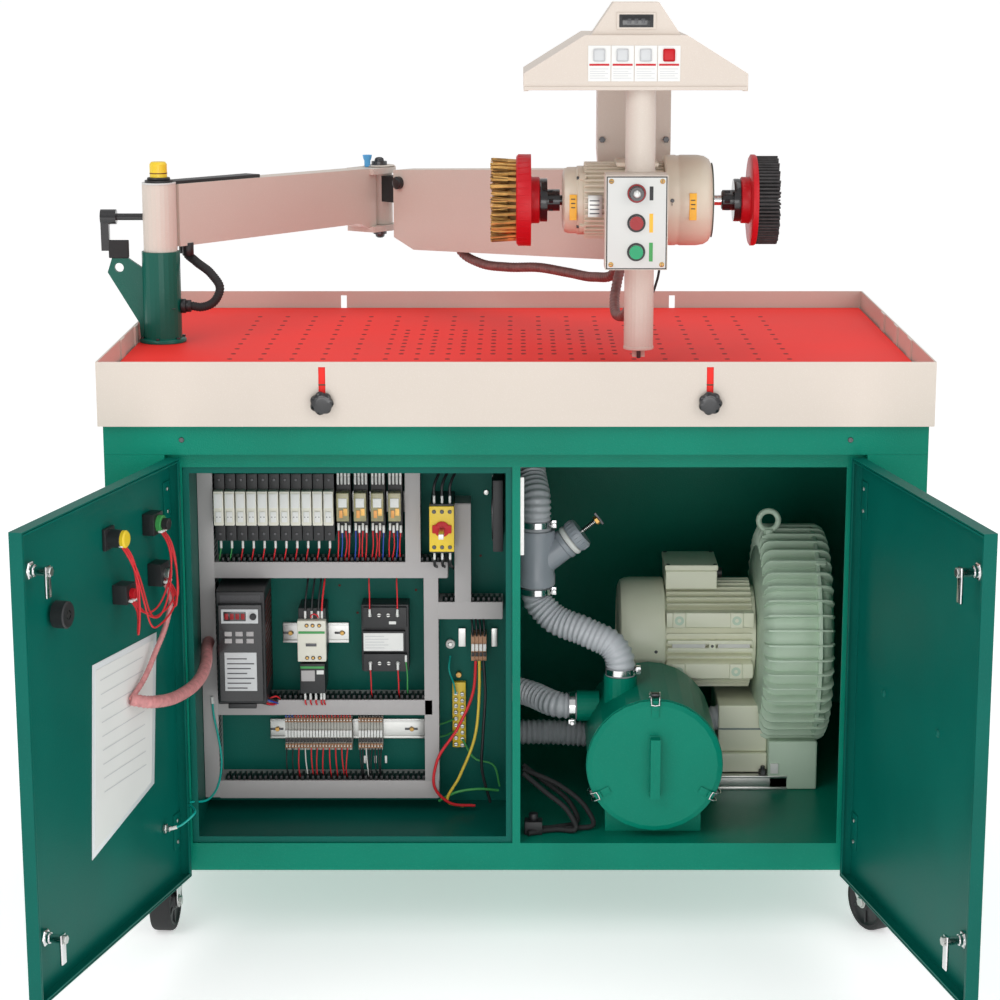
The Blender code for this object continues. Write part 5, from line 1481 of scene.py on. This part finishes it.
def arm():
    def post_part(x, y, z):
        if z < 157.2:
            return 0
        return 1 if z < 274.9 else 2 if z < 279.5 else 3

    dress("column", [POST_GREEN, STEEL, BLACK, YELLOW], 0.8, pick=post_part)
    dress("clamp_lever", GLOSS_BLACK, 1.6)

    def arm_part(x, y, z):
        gap = math.hypot(x - ELBOW_AT.x, y - ELBOW_AT.y)
        return 1 if gap < 16 and (z > 262 or z < 140) else 0

    dress("upper_arm", [CREAM, DARK_STEEL], 1.8, pick=arm_part)

    def knuckle_part(x, y, z):
        gap = math.hypot(x - ELBOW_AT.x, y - ELBOW_AT.y)
        return 0 if gap < 26.5 else 1

    dress("elbow_knuckle", [CREAM, BLACK], 0.8, pick=knuckle_part)
    dress("forearm", CREAM, 0.9)
    post = Piece()
    post.box((-701, -667), (-13, -1), (145.4, 176), RUBBER, bevel=2.0, segments=3)
    post.spin([(15, 279.2), (19, 279.2), (20, 281), (19, 283.5), (15.2, 284)], (-612, -7), BLACK, "Z", 40)
    post.spin([(13.2, 290), (15.25, 290), (15.25, 291.6), (13.2, 291.6)], (-612, -7), HOLE_DARK, "Z", 40)
    post.spin([(33.1, 0.5), (40, 0.5), (40, 5), (38, 7), (33.1, 7.5)], (-612, -7), POST_GREEN, "Z", 48)
    for k in range(6):
        post.hexnut(
            (-612 + 36.5 * math.cos(k * math.tau / 6 + 0.4), -7 + 36.5 * math.sin(k * math.tau / 6 + 0.4)),
            3.4, (7, 10), DARK_STEEL, "Z",
        )
    post.rod((-590, -30), 4.0, (60, 61), DARK_STEEL, "Z", 12)
    post.done("post_details", "cabinet", smooth=45)
    gland = Piece()
    gland.rod((-7, 62), 12.5, (-579.5, -571), BLACK, "X", 24)
    gland.rod((-7, 62), 10.5, (-571, -562), BLACK, "X", 24)
    gland.done("post_cable_gland", "cabinet", smooth=45)
    top = Piece(ARM)
    top.box((18, 248), (-17, 17), (269.5, 276.5), BLACK, turn=turn_about((18, 0, 271), "Y", 0.9), bevel=1.4)
    top.spin(
        [(20.4, 272.3), (29, 272.3), (29.4, 273.6), (29, 275.2), (20.4, 275.2)], (0, 0), PLATE, "Z", 48,
    )
    top.rod((52, -16), 10, (146, 168), BLACK, "Z", 24)
    for z in (139.4, 262.2):
        top.spin(
            [(15, z), (29, z), (30, z + 0.6), (29, z + 1.6), (15, z + 1.8)], (ARM_LENGTH, 0), CREAM, "Z",
            44,
        )
    top.spin(
        [(0, 279), (5, 278.4), (8.4, 276), (9.2, 272), (9.2, 271), (0, 271)], (ARM_LENGTH, 0), DARK_STEEL,
        "Z", 24,
    )
    top.spin(
        [(0, 124), (5, 124.6), (8.4, 127), (9.2, 131), (9.2, 132), (0, 132)], (ARM_LENGTH, 0), DARK_STEEL,
        "Z", 24,
    )
    top.spin(
        [(5.5, 262), (6, 274), (7.5, 276), (9.2, 284), (7.0, 284), (5.0, 277)], (ARM_LENGTH - 27, 8), BLUE,
        "Z", 28,
    )
    top.rod((60, 0), 9, (148, 166), BLACK, "Z", 24)
    top.done("upper_arm_details", "upper_arm", smooth=45)
    fore = Piece(FOREARM)
    for side in (-24.3, 24.3):
        span = (side, side + math.copysign(2.6, side))
        for u, z in ((560, 258), (590, 190), (430, 250)):
            fore.spin(
                [(0, span[1]), (3.6, span[1] - math.copysign(0.6, side)), (4.6, side), (0, side)], (u, z),
                CREAM, "Y", 18,
            )
    fore.box(
        (70, 600), (-23, 23), (258.6, 259.4), CREAM, turn=turn_about((64, 0, 259), "Y", -3.35), bevel=0.3,
    )
    for u in (250, 400, 520):
        z = 112 + (u - 118) * 0.0444 + 8
        fore.box((u - 5, u + 5), (-20.3, 20.3), (z, z + 3), STEEL, bevel=0.6)
    fore.done("forearm_details", "forearm", smooth=45)
    caps = Piece(FOREARM)
    for side in (-1, 1):
        caps.spin(
            [
                (0, side * 34.5), (7, side * 34), (11.4, side * 32), (12, side * 29.5), (12, side * 24.6),
                (0, side * 24.6),
            ],
            (81, 236), GLOSS_BLACK, "Y", 28,
        )
    caps.done("lift_pin_caps", "elbow_knuckle", smooth=45)


# ------------------------------------------------------------------ head

M_Y, M_Z = -127, 256  # axis of the head motor and spindle, which runs along X


def head():
    dress("head_carrier", CREAM, 2.0)
    dress("hood", CREAM, 1.6)

    dress("handle_bar", CREAM, 1.6)
    dress("rpm_knob", GLOSS_BLACK, 0.6)
    dress("alarm_button", RED_LENS, 1.2)
    dress("power_button", GREEN_LENS, 1.2)
    box = Piece()
    box.box((143.5, 239.5), (-333.4, -332.2), (165.5, 312.5), BLACK, bevel=0.5)
    box.box((145.2, 237.8), (-334.2, -333.1), (167.2, 310.8), PLATE, bevel=0.4)
    for x in (151, 232):
        for z in (173, 305):
            box.spin(
                [(0, -336.0), (2.8, -335.6), (4.0, -334.6), (4.2, -334.0), (0, -334.0)], (x, z), BRASS,
                "Y", 18,
            )
            # Screw slot drawn as a dark steel strip: painted shade in the groove.
            box.box(
                (x - 2.8, x + 2.8), (-336.4, -335.7), (z - 0.5, z + 0.5), DARK_STEEL,
                turn=turn_about((x, 0, z), "Y", 40 + x),
            )
    for z, r in ((286, 15), (239, 14.6), (193, 14.6)):
        box.spin(
            [(11.4, -334.9), (r, -334.9), (r - 1, -334.0), (11.4, -334.0)], (191, z), BLACK, "Y", 40,
            ring=True,
        )
    box.spin(
        [(12.2, -335.1), (14.6, -335.1), (14.6, -334.7), (12.2, -334.7)], (191, 286), RED_LENS, "Y", 40,
        ring=True,
    )
    for z, mat, half in ((286, BLACK, 11), (239, ORANGE, 15), (193, WIRE_GREEN, 15)):
        box.box((211.5, 217.5), (-334.6, -334.1), (z - half, z + half), mat, bevel=0.3)
    box.box((142.2, 240.8), (-331.6, -330.4), (164.2, 313.8), CREAM, bevel=0.4)
    box.done("control_plate", "head", smooth=42)
    knob = Piece()
    knob.spin(
        [(0, -352.2), (4.6, -352.0), (6.0, -350.8), (6.2, -349.5), (0, -349.5)], (191, 286), STEEL, "Y",
        32,
    )
    for k in range(20):
        knob.box(
            (201.4, 202.4), (-348.4, -337), (285.4, 286.6), BLACK,
            turn=turn_about((191, 0, 286), "Y", 18 * k), bevel=0.3,
        )
    knob.box((190.4, 191.6), (-352.6, -351.6), (286, 292), WHITE)
    knob.done("rpm_knob_cap", "rpm_knob", smooth=42)
    handle = Piece()
    for z0, z1 in ((26.2, 31), (160, 163.8), (314.2, 318)):
        handle.spin(
            [(24.0, z0), (24.7, z0 + 0.6), (24.7, z1 - 0.6), (24.0, z1)], (200, -257), CREAM, "Z", 56,
        )
    handle.rod((200, -268.5), 3.4, (12.4, 26), DARK_STEEL, "Z", 14)
    handle.spin([(24.05, 300), (24.2, 300), (24.2, 528), (24.05, 528)], (200, -257), CREAM, "Z", 64)
    handle.done("handle_trim", "head", smooth=42)
    top = Piece()
    for x in (16, 364):
        top.box((x - 4, x + 4), (-291.6, -38), (443.4, 447), CREAM, bevel=1.0)
    top.box((13, 367), (-294.4, -291.4), (445, 451), CREAM, bevel=1.0)
    for k in range(4):
        x0 = 114 + 36.8 * k
        top.box((x0, x0 + 35.6), (-293.2, -292.1), (459, 515), WHITE, bevel=0.4)
        top.box(
            (x0 + 8, x0 + 27), (-293.7, -292.9), (490, 510), RED if k == 3 else LABEL_GREY, bevel=3,
            segments=3,
        )
        top.box((x0 + 2, x0 + 33.6), (-293.6, -292.9), (483.4, 486.6), RED)
        for n in range(5):
            z = 463.5 + 3.6 * n
            top.box((x0 + 3, x0 + 32 - 5 * (n % 2)), (-293.5, -292.9), (z, z + 1.1), LABEL_GREY)
    top.box((159, 221), (-286.4, -283.8), (540, 566), CREAM, bevel=1.0)
    top.box((163, 217), (-287.2, -285.8), (543, 563), BLACK, bevel=0.8)
    top.box((168, 212), (-287.8, -286.8), (546, 560), GLASS_BLACK, bevel=0.5)
    for k in range(3):
        top.box((176 + 11 * k, 182 + 11 * k), (-288.0, -287.5), (549, 557), DARK_STEEL, bevel=0.4)
    for x in (146, 254):
        for z in (505, 350):
            top.hexnut((x, z), 5.5, (-38.6, -44), DARK_STEEL, "Y")
    top.done("hood_trim", "head", smooth=42)
    back = Piece()
    back.box((150, 250), (42.2, 45), (190, 500), CREAM, bevel=2)
    for x in (160, 240):
        for z in (205, 345, 485):
            back.hexnut((x, z), 5, (45.2, 49), DARK_STEEL, "Y")
    back.spin([(0, 46.2), (30, 46.2), (34, 45.2), (35, 44), (0, 44)], (200, 256), CREAM, "Y", 48)
    back.done("carrier_back_cover", "head", smooth=42)
    clip = Piece()
    clip.box((165, 196), (0, 40), (146.8, 149.7), STEEL, bevel=0.8)
    clip.rod((182, 10), 12, (138, 147), BLACK, "Z", 24)
    clip.rod((176.0, 30.0), 12, (138, 147), BLACK, "Z", 24)
    clip.done("loom_clips", "head", smooth=42)


def motor():
    unit = Piece()
    bell = [
        (9, 77), (30, 77), (32, 79.5), (42, 79.5), (44, 77), (52, 80), (55, 86), (55, 100), (57, 102),
        (57, 110), (55, 112),
    ]
    unit.spin(bell + [(9, 112)], (M_Y, M_Z), MOTOR_LIGHT, "X", 64)
    unit.spin([(9, 111), (57, 111), (57, 246), (9, 246)], (M_Y, M_Z), MOTOR_LIGHT, "X", 64)
    for k in range(40):
        turn = turn_about((0, M_Y, M_Z), "X", 9 * k)
        unit.box(
            (113, 244), (M_Y + 54, M_Y + 64), (M_Z - 1.5, M_Z + 1.5), MOTOR_LIGHT, turn=turn, bevel=0.7,
        )
    for angle in (45, 135, 225, 315):
        turn = turn_about((0, M_Y, M_Z), "X", angle)
        unit.box((104, 116), (M_Y + 50, M_Y + 62), (M_Z - 7, M_Z + 7), MOTOR_LIGHT, turn=turn, bevel=2)
        unit.rod((M_Y + 56, M_Z), 3.2, (100, 104.5), DARK_STEEL, "X", 14, turn=turn)
    cover = [
        (12, 245), (72, 245), (75, 247), (75, 264), (74, 266), (74, 270), (75, 272), (75, 300), (73, 312),
        (68, 320),
    ]
    unit.spin(cover + [(58, 325), (12, 325)], (M_Y, M_Z), MOTOR_LIGHT, "X", 72)
    for r in (22, 34, 46, 58):
        unit.spin(
            [(r, 325.0), (r + 4, 325.3), (r + 4, 325.8), (r, 325.5)], (M_Y, M_Z), CAST_DARK, "X", 56,
            ring=True,
        )
    unit.box((150, 165), (M_Y - 30, M_Y + 30), (170, 206), MOTOR_LIGHT, bevel=3, segments=3)
    unit.box((235, 245), (M_Y - 30, M_Y + 30), (170, 206), MOTOR_LIGHT, bevel=3, segments=3)
    unit.box((152, 243), (M_Y - 28, M_Y + 28), (188.4, 200), MOTOR_LIGHT, bevel=2)
    unit.rod((200, M_Z), 40, (M_Y + 50, -43.4), MOTOR_LIGHT, "Y", 56)
    unit.spin([(40, -60), (46, -58), (46, -48), (40, -44)], (200, M_Z), MOTOR_LIGHT, "Y", 56)
    unit.box((165, 235), (M_Y - 44, M_Y + 44), (M_Z + 58, M_Z + 66), MOTOR_LIGHT, bevel=3, segments=3)
    unit.box((118, 142), (M_Y - 66.4, M_Y - 60), (M_Z - 22, M_Z + 14), ALU, bevel=1.0)
    for k in range(4):
        unit.box((121, 137), (M_Y - 67.0, M_Y - 66.2), (M_Z - 17 + 7 * k, M_Z - 15 + 7 * k), DARK_STEEL)
    unit.box((88, 100), (M_Y - 56.6, M_Y - 52), (M_Z - 28, M_Z + 14), ORANGE, bevel=0.8)
    unit.box((284, 296), (M_Y - 76.2, M_Y - 70), (M_Z - 26, M_Z + 18), ORANGE, bevel=0.8)
    for x, y0 in ((94, -57.1), (290, -76.7)):
        for k in range(3):
            z = M_Z - 8 + 7 * k
            unit.box((x - 3.4, x + 3.4), (M_Y + y0, M_Y + y0 + 1), (z, z + 1.6), BLACK)
    unit.rod((M_Y - 74.5, M_Z), 2.4, (255, 256), DARK_STEEL, "X", 12)
    unit.spin(
        [(0, M_Y - 76.4), (2.8, M_Y - 76), (3.4, M_Y - 75), (0, M_Y - 74)], (256, M_Z + 6), DARK_STEEL,
        "Y", 14,
    )
    unit.box((158, 164), (M_Y - 46, M_Y - 30), (172, 186), BLACK, bevel=1)
    unit.done("head_motor_body", "head_motor", smooth=38, replaces=("head_motor",))
    tail = Piece()
    loop = [
        (240, M_Y, 170), (241, M_Y + 2, 150), (236, M_Y + 4, 118), (226, M_Y + 3, 96), (213, M_Y, 92),
        (205, M_Y - 1, 104), (204, M_Y, 122),
    ]
    tail.sweep(smooth_path(loop, 4, straight=False), 2.2, RUBBER, sides=10)
    tail.done("thin_sensor_lead", "head_motor", smooth=60)


def tools():
    axle = Piece()
    axle.spin(
        [
            (0, 40), (35.5, 40), (36, 42), (36, 50), (35.5, 52), (18, 52), (18, 72.8), (8.5, 72.8),
            (8.5, 76.6), (8.3, 341.8), (0, 341.8),
        ],
        (M_Y, M_Z), GLOSS_BLACK, "X", 56,
    )
    axle.spin([(8.6, 325.8), (8.6, 342), (0, 342)], (M_Y, M_Z), BRIGHT, "X", 40)
    axle.spin(
        [
            (0, 342), (14, 342), (17, 344), (17, 361.6), (35, 361.6), (35.5, 364), (35.5, 371), (35, 373),
            (0, 373),
        ],
        (M_Y, M_Z), GLOSS_BLACK, "X", 56,
    )
    for x0, x1, r in ((54, 62, 18.0), (346, 356, 17.0)):
        axle.spin(
            [(r, x0), (r + 1.6, x0 + 0.6), (r + 1.6, x1 - 0.6), (r, x1)], (M_Y, M_Z), BLACK, "X", 6,
            ring=True,
        )
    axle.done("spindle_body", "spindle", smooth=40, replaces=("spindle",))
    brush = Piece()
    brush.spin(
        [(0, 25), (76, 25), (76.0, 22), (75, 4), (73.5, 1), (70, 0), (0, 0)], (M_Y, M_Z), RED, "X", 72,
    )
    for k in range(36):
        turn = turn_about((0, M_Y, M_Z), "X", 10 * k)
        brush.box((3, 23), (M_Y + 74.4, M_Y + 76), (M_Z - 1.2, M_Z + 1.2), RED, turn=turn, bevel=0.5)
    brush.spin([(0, 39.7), (36, 39.7), (38.5, 38), (38.5, 27), (40, 25), (0, 25)], (M_Y, M_Z), RED, "X", 56)
    # Dark brass disc among the bristle roots: painted shade inside the brush.
    brush.spin([(0, -14), (52, -14), (60, -8), (62, 0), (0, 0)], (M_Y, M_Z), BRASS_SHADE, "X", 48)
    for count, radius, reach in ((34, 64.5, -38), (30, 57, -37), (24, 49, -36), (20, 40, -34)):
        for k in range(count):
            angle = 360 * (k + 0.5 * (count % 4 == 2)) / count + RNG.uniform(-2, 2)
            tilt = RNG.uniform(-3.0, 3.0)
            a = math.radians(angle)
            b = math.radians(angle + tilt)
            lean = RNG.uniform(-1.5, 1.5)
            grow = 2.0 if radius > 60 else 1.0
            start = Vector((0, M_Y + radius * math.cos(a), M_Z + radius * math.sin(a)))
            end = Vector(
                (reach + RNG.uniform(-3, 2), M_Y + (radius + grow + lean) * math.cos(b),
                    M_Z + (radius + grow + lean) * math.sin(b)),
            )
            points = [start.lerp(end, t / 8) for t in range(9)]
            brush.sweep(points, 3.3, BRASS, sides=7, ribs=(1.2, 5.0))
            for n in range(7):
                around = Vector((0, math.cos(n * 0.9 + k), math.sin(n * 0.9 + k)))
                foot = start.lerp(end, 0.35) + around * 2.4
                tip = end + around * RNG.uniform(1.4, 4.2) + Vector((RNG.uniform(-5, 0), 0, 0))
                tip.x = max(tip.x, -42.6)
                radial = Vector((0, tip.y - M_Y, tip.z - M_Z))
                if radial.length > 69:
                    radial *= 69 / radial.length
                    tip = Vector((tip.x, M_Y + radial.y, M_Z + radial.z))
                # Strands with n % 3 == 0 take the darkened brass: painted shade between the wires.
                brush.sweep(
                    [foot, foot.lerp(tip, 0.5) + around * 0.3, tip], 0.75, BRASS if n % 3 else BRASS_SHADE,
                    sides=5,
                )
    brush.done("wire_cup_brush", "spindle", smooth=50, replaces=("wire_brush",))
    disc = Piece()
    disc.spin(
        [(0, 373.3), (36, 373.3), (38.5, 375), (38.5, 386), (40, 388), (0, 388)], (M_Y, M_Z), RED, "X", 56,
    )
    disc.spin(
        [(0, 388), (72, 388), (75.5, 390), (75.5, 396), (74, 398.6), (0, 398.6)], (M_Y, M_Z), RED, "X", 72,
    )
    disc.spin([(0, 400), (64, 400), (64, 430), (40, 430), (36, 418), (0, 418)], (M_Y, M_Z), BLACK, "X", 56)
    for k in range(72):
        turn = turn_about((0, M_Y, M_Z), "X", 5 * k)
        depth = 434.6 - 0.7 * (k % 3)
        disc.box(
            (398.4, depth), (M_Y + 40, M_Y + 73.2 - 0.5 * (k % 2)), (M_Z - 1.55, M_Z + 1.55), ABRASIVE,
            turn=turn, bevel=0.5,
        )
    disc.done("flap_wheel", "spindle", smooth=40, replaces=("flap_disc",))


camera()
studio()
hoses()
leads()
door_wiring()
cabinet_shell()
tray()
door_details()
casters()
ducts()
relays()
contactor_and_transformer()
terminals()
drive_and_disconnect()
extra_panel_marks()
blower()
drum()
fitting()
arm()
head()
motor()
tools()
